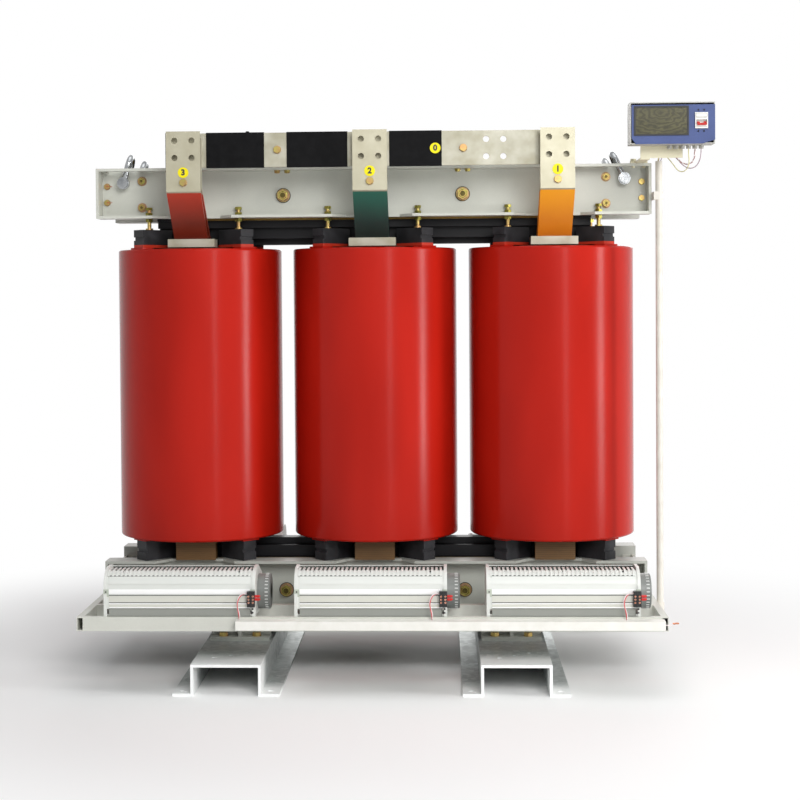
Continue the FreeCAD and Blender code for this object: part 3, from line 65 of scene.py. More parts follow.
camera_data = bpy.data.cameras.new("camera")
camera_data.sensor_width = 36.0
camera_data.lens = FOCAL_PIXELS / PICTURE * camera_data.sensor_width
camera_data.shift_x = (PICTURE / 2 - LENS_CENTRE[0]) / PICTURE
camera_data.shift_y = (LENS_CENTRE[1] - PICTURE / 2) / PICTURE
camera_data.clip_end = 60.0
camera = bpy.data.objects.new("camera", camera_data)
camera.matrix_world = (Matrix.Translation((0.1988, -5.2530, 1.1299))
                       @ Matrix.Rotation(0.0398, 4, "Z")
                       @ Matrix.Rotation(-0.0246, 4, "X")
                       @ Matrix.Rotation(0.0073, 4, "Y")
                       @ Matrix.Rotation(math.pi / 2, 4, "X"))
bpy.context.collection.objects.link(camera)
bpy.context.scene.camera = camera
bpy.context.scene.view_settings.view_transform = "Standard"
print("camera lens", round(camera_data.lens, 1), "mm")

# %% [markdown]
# ## Colours and nodes
# Colours are picked as sRGB hex values, as on a screen, but shaders work in linear light, so one
# function translates them. Another adds one node with its values, links and settings. Noise, ranges,
# bumps, sums and colour mixes come up in every finish, so each has a short function of its own.

# %% Helpers for finishes
def colour(code):
    """An sRGB hex code as the linear colour that a shader needs."""
    parts = [int(code[i:i + 2], 16) / 255 for i in (0, 2, 4)]
    return [p / 12.92 if p <= 0.04045 else ((p + 0.055) / 1.055) ** 2.4 for p in parts] + [1.0]


def add(tree, kind, values=None, links=None, **settings):
    """One node: its settings, the values of its sockets, and what feeds them."""
    node = tree.nodes.new(kind)
    for key, value in settings.items():
        setattr(node, key, value)
    for key, value in (values or {}).items():
        node.inputs[key].default_value = value
    for key, source in (links or {}).items():
        tree.links.new(source, node.inputs[key])
    return node


def noise(tree, place, scale, detail=2.0):
    """Cloudy noise; a larger scale makes smaller clouds."""
    node = add(tree, "ShaderNodeTexNoise", {"Scale": scale, "Detail": detail}, {"Vector": place})
    return node.outputs["Fac"]


def wave_scale(width):
    """The scale at which a wave node draws one line in a width, in metres."""
    return 2 * math.pi / (20 * width)


def ranged(tree, source, low, high, source_low=0.0, source_high=1.0):
    """A value carried over from one range to another."""
    ends = {1: source_low, 2: source_high, 3: low, 4: high}
    return add(tree, "ShaderNodeMapRange", ends, {0: source}).outputs[0]


def relief(tree, height, strength, depth):
    """A bump as deep as a number of metres."""
    node = add(tree, "ShaderNodeBump", {"Strength": strength, "Distance": depth}, {"Height": height})
    return node.outputs[0]


def maths(tree, operation, *terms):
    """A sum of any kind; each term is a number or the socket that gives it."""
    fixed = {place: term for place, term in enumerate(terms) if isinstance(term, float)}
    fed = {place: term for place, term in enumerate(terms) if not isinstance(term, float)}
    return add(tree, "ShaderNodeMath", fixed, fed, operation=operation).outputs[0]


def blend(tree, first, second, level):
    """Two colours mixed; each is a hex code or the socket that gives it."""
    ends = {6: first, 7: second, 0: level}
    fixed = {place: colour(end) for place, end in ends.items() if isinstance(end, str)}
    fed = {place: end for place, end in ends.items() if not isinstance(end, str)}
    return add(tree, "ShaderNodeMix", fixed, fed, data_type="RGBA").outputs[2]


def start_finish(name):
    """A new material with an empty tree and its Object coordinates."""
    finish = bpy.data.materials.new(name)
    finish.use_nodes = True
    finish.node_tree.nodes.clear()
    place = add(finish.node_tree, "ShaderNodeTexCoord").outputs["Object"]
    return finish, finish.node_tree, place


def end_finish(tree, values, links):
    """The shader itself, with what is the same all over set on its own sockets."""
    shader = add(tree, "ShaderNodeBsdfPrincipled", values, links)
    add(tree, "ShaderNodeOutputMaterial", links={"Surface": shader.outputs[0]})

# %% [markdown]
# ## Floor and light
# The object stands on a plain white floor. The world is white where the camera, metal and glass look
# at it, and a softer level where it lights the object. Large soft lamps stand where the windows of
# the workshop were: tall and narrow ones on the right give the coils their upright gleams.

# %% Floor
bpy.ops.object.select_all(action="DESELECT")
bpy.ops.mesh.primitive_plane_add(size=60.0, location=(0, 0, 0))
floor = bpy.context.object
floor.name = "floor"
finish, tree, place = start_finish("white floor paint")
cloud = noise(tree, place, 0.6, 3.0)
tint = blend(tree, "F6F6F5", "FAFAF9", cloud)
paint = add(tree, "ShaderNodeBsdfPrincipled", {"Roughness": 0.9, "Specular IOR Level": 0.1},
            {"Base Color": tint})
flat = add(tree, "ShaderNodeVectorMath", {1: (1, 1, 0)}, {0: place}, operation="MULTIPLY")
away = add(tree, "ShaderNodeVectorMath", links={0: flat.outputs[0]}, operation="LENGTH")
fade = add(tree, "ShaderNodeMapRange", {1: 1.15, 2: 2.3}, {0: away.outputs["Value"]},
           interpolation_type="SMOOTHSTEP")
rays = add(tree, "ShaderNodeLightPath")
looks = maths(tree, "MAXIMUM", rays.outputs["Is Camera Ray"], rays.outputs["Is Glossy Ray"])
looks = maths(tree, "MAXIMUM", looks, rays.outputs["Is Transmission Ray"])
share = maths(tree, "MULTIPLY", fade.outputs[0], looks)
white = add(tree, "ShaderNodeEmission", {"Color": (1, 1, 1, 1), "Strength": 1.0})
mixed = add(tree, "ShaderNodeMixShader", links={0: share, 1: paint.outputs[0], 2: white.outputs[0]})
add(tree, "ShaderNodeOutputMaterial", links={"Surface": mixed.outputs[0]})
floor.data.materials.append(finish)

# %% World
world = bpy.data.worlds.new("studio")
bpy.context.scene.world = world
world.use_nodes = True
tree = world.node_tree
tree.nodes.clear()
rays = add(tree, "ShaderNodeLightPath")
seen = maths(tree, "MAXIMUM", rays.outputs["Is Camera Ray"], rays.outputs["Is Transmission Ray"])
seen = maths(tree, "MAXIMUM", seen, rays.outputs["Is Glossy Ray"])
lit = add(tree, "ShaderNodeBackground", {"Color": colour("F4F6FA"), "Strength": 0.26})
white = add(tree, "ShaderNodeBackground", {"Color": (1, 1, 1, 1), "Strength": 1.0})
mixed = add(tree, "ShaderNodeMixShader", links={0: seen, 1: lit.outputs[0], 2: white.outputs[0]})
add(tree, "ShaderNodeOutputWorld", links={"Surface": mixed.outputs[0]})


# %% Lamps
def lamp(name, place, aim, width, height, power):
    """A soft rectangular lamp at a place, turned to what it lights."""
    data = bpy.data.lights.new(name, "AREA")
    data.shape = "RECTANGLE"
    data.size, data.size_y, data.energy = width, height, power
    thing = bpy.data.objects.new(name, data)
    thing.location = place
    thing.rotation_euler = (Vector(aim) - Vector(place)).to_track_quat("-Z", "Y").to_euler()
    bpy.context.collection.objects.link(thing)


lamp("front", (1.8, -5.7, 3.3), (0, 0, 0.9), 2.6, 2.4, 210.0)
lamp("above", (0.2, -1.0, 4.6), (0, 0, 1.0), 3.6, 3.0, 55.0)
lamp("window near", (2.1, -5.2, 1.5), (0.1, 0, 0.9), 0.24, 3.0, 24.0)
lamp("window far", (4.4, -1.6, 1.5), (0.1, 0, 0.9), 0.6, 3.0, 92.0)
lamp("behind", (0.5, 4.6, 3.0), (0, 0, 1.0), 4.0, 2.5, 110.0)
print(len(bpy.data.lights), "lamps")

# %% [markdown]
# ## Finishes
# Most of the steel is sprayed with a satin grey enamel. Sprayed paint is never quite flat: it has a
# fine orange peel, faint clouds where it dried unevenly, and dust that settles in streaks. Two noise
# patterns stand for these, each at its real size, with the dust drawn as clouds, and drive the
# colour, the roughness and the bump.

# %% Sprayed enamel
def enamel(name, code, shade, rough=0.42, peel=4.0, dust=0.35):
    """Sprayed paint: peel is the width of its orange peel in millimetres."""
    finish, tree, place = start_finish(name)
    cloud = noise(tree, place, 9.0, 4.0)
    speck = noise(tree, place, 1.0 / (peel * MM), 2.0)
    mixed = maths(tree, "MULTIPLY", speck, 0.35)
    total = maths(tree, "ADD", cloud, mixed)
    level = ranged(tree, total, 0.0, dust, 0.45, 0.95)
    tint = blend(tree, code, shade, level)
    dull = ranged(tree, cloud, rough - 0.06, rough + 0.1)
    bump = relief(tree, speck, 0.25, 0.0004)
    end_finish(tree, {"IOR": 1.5}, {"Base Color": tint, "Roughness": dull, "Normal": bump})
    return finish


FINISHES = {
    "clamp_paint": enamel("grey clamp enamel", "C8C9BF", "A3A59E"),
    "clamp_paint_dark": enamel("grey frame enamel", "B2B4AC", "8A8D87"),
    "tray_paint": enamel("pale tray enamel", "CFD0C7", "B0B1A8", 0.5),
    "box_grey": enamel("grey housing enamel", "ACABA4", "8B8B85", 0.5),
    "panel_blue": enamel("blue panel lacquer", "2A4079", "20315F", 0.5, 6.0, 0.7),
    "bracket_cream": enamel("cream bracket enamel", "D8D2B6", "BBB597", 0.5),
    "motor_shell": enamel("silver motor lacquer", "777A77", "595C59", 0.4),
}
print(len(FINISHES), "enamels")

# %% [markdown]
# The core is stacked from thousands of thin steel sheets, varnished black. From the end you can see
# the sheets as fine lines. They are stacked from front to back, so a wave along Y draws them; the
# real 0.3 mm sheets are too fine for the picture, so each line here stands for a packet of 4 mm.

# %% Varnished core sheets
finish, tree, place = start_finish("black core varnish")
lines = add(tree, "ShaderNodeTexWave", {"Scale": wave_scale(0.004), "Distortion": 0.6, "Detail": 1.0},
            {"Vector": place}, bands_direction="Y")
cloud = noise(tree, place, 14.0)
sheen = ranged(tree, cloud, 0.28, 0.5)
tint = blend(tree, "0A0A0B", "1B1B1D", lines.outputs["Fac"])
bump = relief(tree, lines.outputs["Fac"], 0.5, 0.0005)
end_finish(tree, {"IOR": 1.5, "Specular IOR Level": 0.15},
           {"Base Color": tint, "Roughness": sheen, "Normal": bump})
FINISHES["core_steel"] = finish

# %% [markdown]
# The coils are cast in pigmented epoxy resin in a steel mould. That leaves a glossy, almost even red
# with a very slight ripple, which you notice only because the upright gleams waver in it.

# %% Cast resin
finish, tree, place = start_finish("red cast epoxy resin")
wide = add(tree, "ShaderNodeMapping", {"Scale": (1.0, 1.0, 0.3)}, {"Vector": place})
ripple = noise(tree, wide.outputs[0], 7.0, 1.0)
grain = noise(tree, place, 240.0, 2.0)
both = maths(tree, "MULTIPLY", grain, 0.05)
height = maths(tree, "ADD", ripple, both)
level = ranged(tree, ripple, 0.0, 1.0, 0.35, 0.65)
tint = blend(tree, "AE1D11", "A2180C", level)
dots = blend(tree, tint, "C02A1E", both)
dull = ranged(tree, ripple, 0.16, 0.27)
bump = relief(tree, height, 0.3, 0.003)
end_finish(tree, {"IOR": 1.52, "Specular IOR Level": 0.13},
           {"Base Color": dots, "Roughness": dull, "Normal": bump})
FINISHES["coil_resin"] = finish

# %% [markdown]
# Moulded and extruded plastics share one recipe: an even colour with faint flow marks, a fine grain
# from the tool, and a roughness that says how polished that tool was.

# %% Plastics
def plastic(name, code, shade, rough, grain=1.2, flow=25.0, shine=0.5, foot=None):
    """Moulded plastic: grain is the tool's grain in millimetres; a foot is red below that height."""
    finish, tree, place = start_finish(name)
    marks = noise(tree, place, flow, 3.0)
    fine = noise(tree, place, 1.0 / (grain * MM), 1.0)
    level = ranged(tree, marks, 0.0, 1.0, 0.35, 0.7)
    tint = blend(tree, code, shade, level)
    if foot:
        split = add(tree, "ShaderNodeSeparateXYZ", links={0: place})
        band = maths(tree, "COMPARE", split.outputs["Z"], foot, 0.0075)
        tint = blend(tree, tint, "B8321F", band)
    dull = ranged(tree, marks, rough - 0.05, rough + 0.08)
    bump = relief(tree, fine, 0.15, 0.0002)
    end_finish(tree, {"IOR": 1.5, "Specular IOR Level": shine},
               {"Base Color": tint, "Roughness": dull, "Normal": bump})
    return finish


FINISHES.update({
    "block_moulding": plastic("black glass polyester moulding", "212123", "303033", 0.42, 2.5,
                              shine=0.22, foot=1.278),
    "sleeve_black": plastic("black shrink sleeve", "0D0D0E", "141415", 0.5, 3.0, 40.0, 0.06),
    "disc_yellow": plastic("yellow printed vinyl", "EFE01A", "E6D616", 0.45, shine=0.2),
    "terminal_black": plastic("black phenolic", "161617", "242425", 0.4),
    "trunking_white": plastic("white rigid vinyl", "E9E8E2", "E1E0D8", 0.45, shine=0.25),
    "breaker_white": plastic("white polyamide", "E6E5E0", "DAD8D2", 0.4),
    "toggle_red": plastic("red polyamide", "C81E18", "B51813", 0.35),
    "conduit_white": plastic("ivory conduit vinyl", "DAD6CD", "CDC8BE", 0.45, shine=0.15),
    "wire_jacket": plastic("pale wire jacket", "D9CBBE", "CDB9A8", 0.45),
})
print(len(FINISHES), "finishes so far")

# %% [markdown]
# Bare and plated metals are metallic, so their colour is the colour of their reflections. Zinc plated
# steel passivated yellow is gold with pink and green clouds. Tin on a copper bar is a soft warm
# white, brushed along the bar. Hot-dip galvanising grows flat crystals, called spangle, 15 mm wide.

# %% Metals
def plated(name, code, shade, rough, cloud_size=60.0, brushed=(1.0, 1.0, 1.0), mark=0.2, metal=1.0):
    """A bare or plated metal, with its fine marks stretched along the way it was brushed."""
    finish, tree, place = start_finish(name)
    along = add(tree, "ShaderNodeMapping", {"Scale": brushed}, {"Vector": place})
    cloud = noise(tree, place, cloud_size, 3.0)
    marks = noise(tree, along.outputs[0], 500.0, 2.0)
    level = ranged(tree, cloud, 0.0, 1.0, 0.35, 0.65)
    tint = blend(tree, code, shade, level)
    dull = ranged(tree, marks, rough - 0.08, rough + 0.12)
    bump = relief(tree, marks, mark, 0.0002)
    end_finish(tree, {"Metallic": metal}, {"Base Color": tint, "Roughness": dull, "Normal": bump})
    return finish


FINISHES.update({
    "zinc_yellow": plated("yellow passivated zinc", "A39A58", "A68358", 0.32, 45.0),
    "brass_stud": plated("turned brass", "C8A050", "B98E42", 0.25),
    "copper_bar": plated("rolled copper", "C07850", "A9643F", 0.35, 12.0, (0.05, 1.0, 1.0)),
    "shackle_steel": plated("polished chrome", "A9ABAC", "808386", 0.14, 30.0),
    "fan_wheel": plated("pressed aluminium", "A9ACAE", "8E9193", 0.38),
})

# %% Tinned bars
FINISHES["tinned_bar"] = plated("tinned copper long bar", "B0AD9E", "97937F", 0.46, 16.0,
                                (0.04, 1.0, 1.0), 0.3, 0.35)

# %% Galvanised steel
def galvanised(name, code, shade):
    """Hot-dip zinc with its spangle, and painted light that turns it almost white towards its front and
    rear ends.
    """
    finish, tree, place = start_finish(name)
    spangle = add(tree, "ShaderNodeTexVoronoi", {"Scale": 1.0 / 0.015}, {"Vector": place})
    cloud = noise(tree, place, 8.0, 4.0)
    grey = add(tree, "ShaderNodeRGBToBW", links={0: spangle.outputs["Color"]})
    mixed = maths(tree, "MULTIPLY", grey.outputs[0], cloud)
    tint = blend(tree, code, shade, mixed)
    # Painted light: towards the front and rear ends the zinc is mixed to almost white and made less
    # metallic, where the lamps reach the base past the tray.
    split = add(tree, "ShaderNodeSeparateXYZ", links={0: place})
    ends = maths(tree, "ABSOLUTE", split.outputs["Y"])
    painted_light_at_ends = ranged(tree, ends, 0.0, 0.9, 0.37, 0.46)
    tint = blend(tree, tint, "FAFBFA", painted_light_at_ends)
    dull = ranged(tree, grey.outputs[0], 0.34, 0.56)
    metal = ranged(tree, ends, 0.45, 0.0, 0.37, 0.46)
    end_finish(tree, {}, {"Base Color": tint, "Roughness": dull, "Metallic": metal})
    return finish


FINISHES["galvanised"] = galvanised("hot-dip galvanised steel", "C2C7C5", "8E9594")
print(len(FINISHES), "finishes so far")

# %% [markdown]
# The fans are pressed from aluminium sheet and sprayed white: almost no texture, a soft sheen.
# Insulating boards are pressed from paper fibre and turn straw brown. The wood blocks are laminated
# beech, so their grain runs along them in thin bands. The low-voltage coils are banded with glass
# tape, whose turns show as level ridges 20 mm apart.

# %% Fan paint, board, wood and banded coils
FINISHES["fan_case"] = enamel("white fan enamel", "D8DAD5", "C8CBC5", 0.42, 3.0, 0.3)

finish, tree, place = start_finish("pressed board")
fibre = noise(tree, place, 160.0, 5.0)
tint = blend(tree, "8A6E28", "6B5420", fibre)
bump = relief(tree, fibre, 0.4, 0.0003)
end_finish(tree, {"Roughness": 0.75}, {"Base Color": tint, "Normal": bump})
FINISHES["press_board"] = finish

finish, tree, place = start_finish("laminated beech")
long = add(tree, "ShaderNodeMapping", {"Scale": (0.15, 1.0, 1.0)}, {"Vector": place})
grain = add(tree, "ShaderNodeTexNoise", {"Scale": 180.0, "Detail": 6.0, "Distortion": 0.4},
            {"Vector": long.outputs[0]})
plies = add(tree, "ShaderNodeTexWave", {"Scale": wave_scale(0.006), "Distortion": 1.0},
            {"Vector": place}, bands_direction="Z")
both = maths(tree, "MULTIPLY", grain.outputs["Fac"], plies.outputs["Fac"])
tint = blend(tree, "6E4F26", "3A2710", both)
bump = relief(tree, grain.outputs["Fac"], 0.35, 0.0004)
end_finish(tree, {"Roughness": 0.55}, {"Base Color": tint, "Normal": bump})
FINISHES["laminated_wood"] = finish

finish, tree, place = start_finish("resin soaked glass tape")
turns = add(tree, "ShaderNodeTexWave", {"Scale": wave_scale(0.02), "Distortion": 0.5},
            {"Vector": place}, bands_direction="Z")
weave = noise(tree, place, 300.0)
tint = blend(tree, "5A2A1C", "3A1A12", turns.outputs["Fac"])
height = maths(tree, "ADD", turns.outputs["Fac"], weave)
bump = relief(tree, height, 0.4, 0.0006)
end_finish(tree, {"Roughness": 0.4}, {"Base Color": tint, "Normal": bump})
FINISHES["low_coil_wrap"] = finish

# %% [markdown]
# The window of the control box is smoked acrylic: what lies behind it shows only faintly. It is
# glossy and hardly see-through; the uneven rings of light in its tint are painted reflections.

# %% Smoked window
finish, tree, place = start_finish("smoked acrylic")
# Painted reflection: uneven rings centred on the window, mixed into its tint, stand for light mirrored in
# the glossy sheet.
centred = add(tree, "ShaderNodeMapping", {"Location": (-0.458, 0.0, -1.642), "Scale": (0.55, 1.0, 1.0)},
              {"Vector": place})
painted_reflection_rings = add(tree, "ShaderNodeTexWave", {"Scale": 30.0, "Distortion": 9.0, "Detail": 3.0,
                                        "Detail Scale": 2.4},
            {"Vector": centred.outputs[0]}, wave_type="RINGS", rings_direction="Y")
cloud = noise(tree, place, 16.0, 4.0)
reflection_ring_level = ranged(tree, painted_reflection_rings.outputs["Fac"], 0.3, 0.85)
both = maths(tree, "MULTIPLY", reflection_ring_level, cloud)
tint = blend(tree, "1E1E14", "6F6A43", both)
end_finish(tree, {"Roughness": 0.2, "IOR": 1.49, "Specular IOR Level": 0.12, "Transmission Weight": 0.05},
           {"Base Color": tint})
FINISHES["window_smoke"] = finish

# %% [markdown]
# The risers and the links behind them are tinned on top and painted below the bend, in the colour of
# their phase: red, green and orange. The paint ends in a straight line where it was masked, at one
# height all over, so a comparison of the Object coordinate Z draws it. Below the bend the colour runs
# from bright to dark, with faint clouds in it: a painted reflection near the bend and painted shade
# towards the foot. The links share one CAD node, so there the X coordinate picks the colour.

# %% Phase paint
PHASE = {"left": ("A8301A", "66200F"), "middle": ("1A5B4C", "152E2A"), "right": ("E6970F", "CC7716")}


def masked_bar(name, phase_of, edge):
    """Tinned above the height of the edge, painted below it."""
    finish, tree, place = start_finish(name)
    split = add(tree, "ShaderNodeSeparateXYZ", links={0: place})
    cloud = noise(tree, place, 18.0, 4.0)
    along = add(tree, "ShaderNodeMapping", {"Scale": (1.0, 1.0, 0.04)}, {"Vector": place})
    marks = noise(tree, along.outputs[0], 500.0)
    tin = blend(tree, "B9B5A1", "99937B", cloud)
    # Painted light and shade: the coat is brightest just below the bend and darkest towards the foot.
    painted_shade_towards_foot = ranged(tree, split.outputs["Z"], -0.15, 0.85, 1.425, 1.345)
    cloud_and_painted_shade = add(tree, "ShaderNodeMath", {1: 0.3}, {0: cloud, 2: painted_shade_towards_foot},
               operation="MULTIPLY_ADD", use_clamp=True)
    paint = None
    for phase in phase_of:
        code, shade = PHASE[phase]
        coat = blend(tree, code, shade, cloud_and_painted_shade.outputs[0])
        if paint:
            side = maths(tree, "GREATER_THAN", split.outputs["X"], LEGS[phase] - 0.27)
            coat = blend(tree, paint, coat, side)
        paint = coat
    low = maths(tree, "LESS_THAN", split.outputs["Z"], edge)
    skin = blend(tree, tin, paint, low)
    metal = ranged(tree, low, 0.42, 0.0)
    bump = relief(tree, marks, 0.25, 0.0002)
    end_finish(tree, {"Roughness": 0.4}, {"Base Color": skin, "Metallic": metal, "Normal": bump})
    return finish


# %% Give every CAD node its finish
slots = {row["node"]: row["material_slot"] for row in frame["record"]["subparts"]}
for name, node in nodes.items():
    node.data.materials.clear()
    node.data.materials.append(FINISHES[slots[name]])
for phase in LEGS:
    nodes["riser_" + phase].data.materials[0] = masked_bar("riser finish " + phase, [phase], 1.430)
nodes["neutral_links"].data.materials[0] = masked_bar("link finish", list(LEGS), 1.428)
nodes["shackle_pins"].data.materials[0] = FINISHES["shackle_steel"]
print("finishes given to", len(nodes), "nodes")

# %% [markdown]
# ## Fittings
# What follows is modelled as by hand. A block or a round bar is added at its size and place, given in
# millimetres, and shaped in edit mode: faces are picked by where they look, then bevelled, inset,
# pulled or spun. What repeats is modelled once, and each copy has its own mesh.

# %% Blocks and round bars
bpy.context.tool_settings.mesh_select_mode = (False, False, True)
ACROSS, BACK, UP = (1, 0, 0), (0, 1, 0), (0, 0, 1)
FORTH = (0, -1, 0)


def pick(piece, test):
    """Go into edit mode with only the faces that pass a test selected."""
    bpy.ops.object.mode_set(mode="OBJECT")
    for group in (piece.data.vertices, piece.data.edges, piece.data.polygons):
        group.foreach_set("select", [False] * len(group))
    for face in piece.data.polygons:
        face.select = test(face)
    bpy.ops.object.mode_set(mode="EDIT")


def facing(way):
    """A test for faces that look one way."""
    return lambda face: face.normal.dot(Vector(way)) > 0.9


def block(low, high, edge=0.0, rounds=1):
    """A block between two corners, with all its edges cut back."""
    bpy.ops.object.select_all(action="DESELECT")
    bpy.ops.mesh.primitive_cube_add(size=1.0, location=[(a + b) / 2 * MM for a, b in zip(low, high)])
    piece = bpy.context.object
    piece.scale = [(b - a) * MM for a, b in zip(low, high)]
    bpy.ops.object.transform_apply(location=True, rotation=True, scale=True)
    if edge:
        bpy.ops.object.mode_set(mode="EDIT")
        bpy.ops.mesh.select_all(action="SELECT")
        bpy.ops.mesh.bevel(offset=edge * MM, segments=rounds)
        bpy.ops.object.mode_set(mode="OBJECT")
    return piece


def round_bar(start, way, length, radius, edge=0.0, sides=20):
    """A round bar that starts at a place and grows one way, with its far rim cut back."""
    bpy.ops.object.select_all(action="DESELECT")
    way = Vector(way)
    bpy.ops.mesh.primitive_cylinder_add(vertices=sides, radius=radius * MM, depth=length * MM,
                                        location=(Vector(start) + way * length / 2) * MM,
                                        rotation=way.to_track_quat("Z", "Y").to_euler())
    bpy.ops.object.transform_apply(location=True, rotation=True, scale=True)
    piece = bpy.context.object
    if edge:
        pick(piece, facing(way))
        bpy.ops.mesh.bevel(offset=edge * MM, segments=1)
        bpy.ops.object.mode_set(mode="OBJECT")
    return piece


def slot_screw(start, way, radius, height):
    """A pan head screw with a round recess for its driver."""
    piece = round_bar(start, way, height, radius, height * 0.4, 16)
    pick(piece, facing(way))
    bpy.ops.mesh.inset(thickness=radius * 0.35 * MM)
    bpy.ops.transform.translate(value=Vector(way) * -0.5 * height * MM)
    bpy.ops.object.mode_set(mode="OBJECT")
    return piece


def joined(pieces):
    """Several pieces made one object."""
    bpy.ops.object.select_all(action="DESELECT")
    for piece in pieces:
        piece.select_set(True)
    bpy.context.view_layer.objects.active = pieces[0]
    bpy.ops.object.join()
    return pieces[0]


SLOT_OF = {}


def finished(piece, name, finish, slot):
    """Name a piece, give it its finish, and fix it to the frame."""
    piece.name = name = name.replace(" ", "_")
    piece.data.materials.clear()
    piece.data.materials.append(finish)
    SLOT_OF[name] = slot
    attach(piece, "root")
    return piece


def copied(piece, name, shift=(0, 0, 0), turned=False):
    """A copy with its own mesh, moved, and for the rear turned half round the middle of the frame."""
    copy = piece.copy()
    copy.data = piece.data.copy()
    bpy.context.collection.objects.link(copy)
    copy.data.transform(Matrix.Translation(Vector(shift) * MM))
    if turned:
        copy.data.transform(Matrix.Rotation(math.pi, 4, "Z"))
    return finished(copy, name, piece.data.materials[0], SLOT_OF[piece.name])

# %% [markdown]
# ### Nuts and washers
# The CAD nuts are plain prisms. Each one on the frame and the bars gets a dressed nut over it: a hex
# prism whose front rim is cut back, with a raised round face, a domed stud end and a washer that is
# pinker than the nut. The core bolts also sit on a black insulating ring, a little wider than their
# washer, so its rim is also painted shadow round the washer. The clamps' bolts repeat at the rear,
# the bars' bolts don't.

# %% One dressed nut
nut_zinc = plated("olive passivated zinc", "8C8644", "6E6A34", 0.26, 70.0)
stud_zinc = plated("dull olive zinc", "5E552E", "4A4226", 0.45, 70.0)
washer_zinc = plated("pink passivated zinc", "B08672", "98795A", 0.45, 50.0, metal=0.4)
ring_black_and_shadow = plastic("black insulating ring", "1B1A1A", "262424", 0.6)
NUTS, STUDS, WASHERS, RINGS = [], [], [], []


def hex_prism(start, way, length, flats, edge):
    """A hex prism with its far rim cut back and a round face raised on it."""
    piece = round_bar(start, way, length, flats / math.sqrt(3), edge, 6)
    pick(piece, facing(way))
    bpy.ops.mesh.inset(thickness=flats * 0.05 * MM)
    bpy.ops.transform.translate(value=Vector(way) * 0.4 * MM)
    bpy.ops.object.mode_set(mode="OBJECT")
    return piece


def dressed_nut(place, way, flats, height, washer, thick, stud=0.0):
    """A washer on a seat, a nut on it, and a stud end that stands out of the nut."""
    seat, way = Vector(place), Vector(way)
    WASHERS.append(round_bar(seat, way, thick + 0.2, washer + 0.3, 0.7, 28))
    NUTS.append(hex_prism(seat + way * thick, way, height + 0.3, flats + 0.7, flats * 0.12))
    if stud:
        STUDS.append(round_bar(seat + way * (thick + height), way, 3.4, stud, 1.3, 16))


# %% Nuts on the clamps
WEB = -123.5
RISER_FACE, SUPPORT_FACE, LONG_BAR_FACE = -345.0, -318.0, -308.0
LEG_X = (-543.0, 0.0, 543.0)
BETWEEN_LEGS = (-271.5, 271.5)
for z in (1433.0, 233.0):
    for x in BETWEEN_LEGS:
        # The black ring stands 2.2 mm past the washer: an insulating ring, and painted shadow round the
        # washer.
        RINGS.append(round_bar((x, WEB, z), FORTH, 1.6, 22.5, 0.5, 32))
        WASHERS.append(round_bar((x, WEB, z), FORTH, 6.2, 20.3, 1.4, 32))
        dressed_nut((x, WEB - 6.0, z), FORTH, 30.0, 14.0, 15.0, 2.5, 8.5)
for z in (1400.0, 1480.0, 215.0, 295.0):
    for x in (-702.0, 702.0):
        dressed_nut((x, WEB - 2.5, z), FORTH, 19.0, 9.0, 10.5, 2.5, 5.0)
        WASHERS.append(round_bar((x, WEB, z), FORTH, 2.7, 14.3, 0.8, 28))
for x, heights in ((809.0, (1415.5, 1464.5)), (793.0, (230.5, 279.5))):
    for z in heights:
        for side in (-1, 1):
            dressed_nut((side * x, WEB, z), FORTH, 16.0, 3.5, 9.6, 2.5)
for z in (240.0, 1455.0):
    for x in LEG_X:
        dressed_nut((x, WEB, z), FORTH, 19.0, 6.5, 11.4, 2.5)
for x in (-679.0, -407.0, -136.0, 136.0, 407.0, 679.0):
    for z, height in ((1355.0, 10.0), (1373.0, 10.0), (1391.0, 8.0)):
        NUTS.append(hex_prism((x, -136.0, z - 0.1), UP, height + 0.1, 19.6, 1.0))
for kind, group, finish in (("hex nuts", NUTS, nut_zinc), ("stud ends", STUDS, stud_zinc),
                            ("washers", WASHERS, washer_zinc), ("insulating and shadow rings", RINGS, ring_black_and_shadow)):
    whole = finished(joined(group), kind + " front", finish, "zinc_yellow")
    copied(whole, kind + " rear", turned=True)
    group.clear()
print("clamp and jack bolts dressed, front and rear")

# %% Bolt heads on the bars
for x in LEG_X:
    dressed_nut((x, RISER_FACE, 1460.0), FORTH, 19.0, 4.5, 11.4, 2.5)
for x in (-568.0, -518.0, -25.0, 25.0, 518.0, 568.0):
    dressed_nut((x, SUPPORT_FACE, 1556.0), FORTH, 19.0, 4.5, 11.4, 2.5)
for x in BETWEEN_LEGS:
    dressed_nut((x, LONG_BAR_FACE, 1556.0), FORTH, 19.0, 4.5, 11.4, 2.5)
for kind, group, finish in (("bar bolt heads", NUTS, nut_zinc), ("bar washers", WASHERS, washer_zinc)):
    finished(joined(group), kind, finish, "zinc_yellow")
print("bar bolts dressed")

# %% [markdown]
# ### Fan skins
# Each fan is a pressed box whose front rolls over into its top. White panels lie on its skin; the
# narrow grey strips between them are painted shadow in the seams. A panel starts as a flat face that
# stands on the roll's axis; spinning it makes the roll, and pulling its lower end down makes the
# upright part.

# %% Rolled sheets
FAN_LEFT, FAN_RIGHT = -759.0, -327.0
FAN_STEPS = (0.0, 543.0, 1086.0)
ROLL = (-444.0, 299.0)


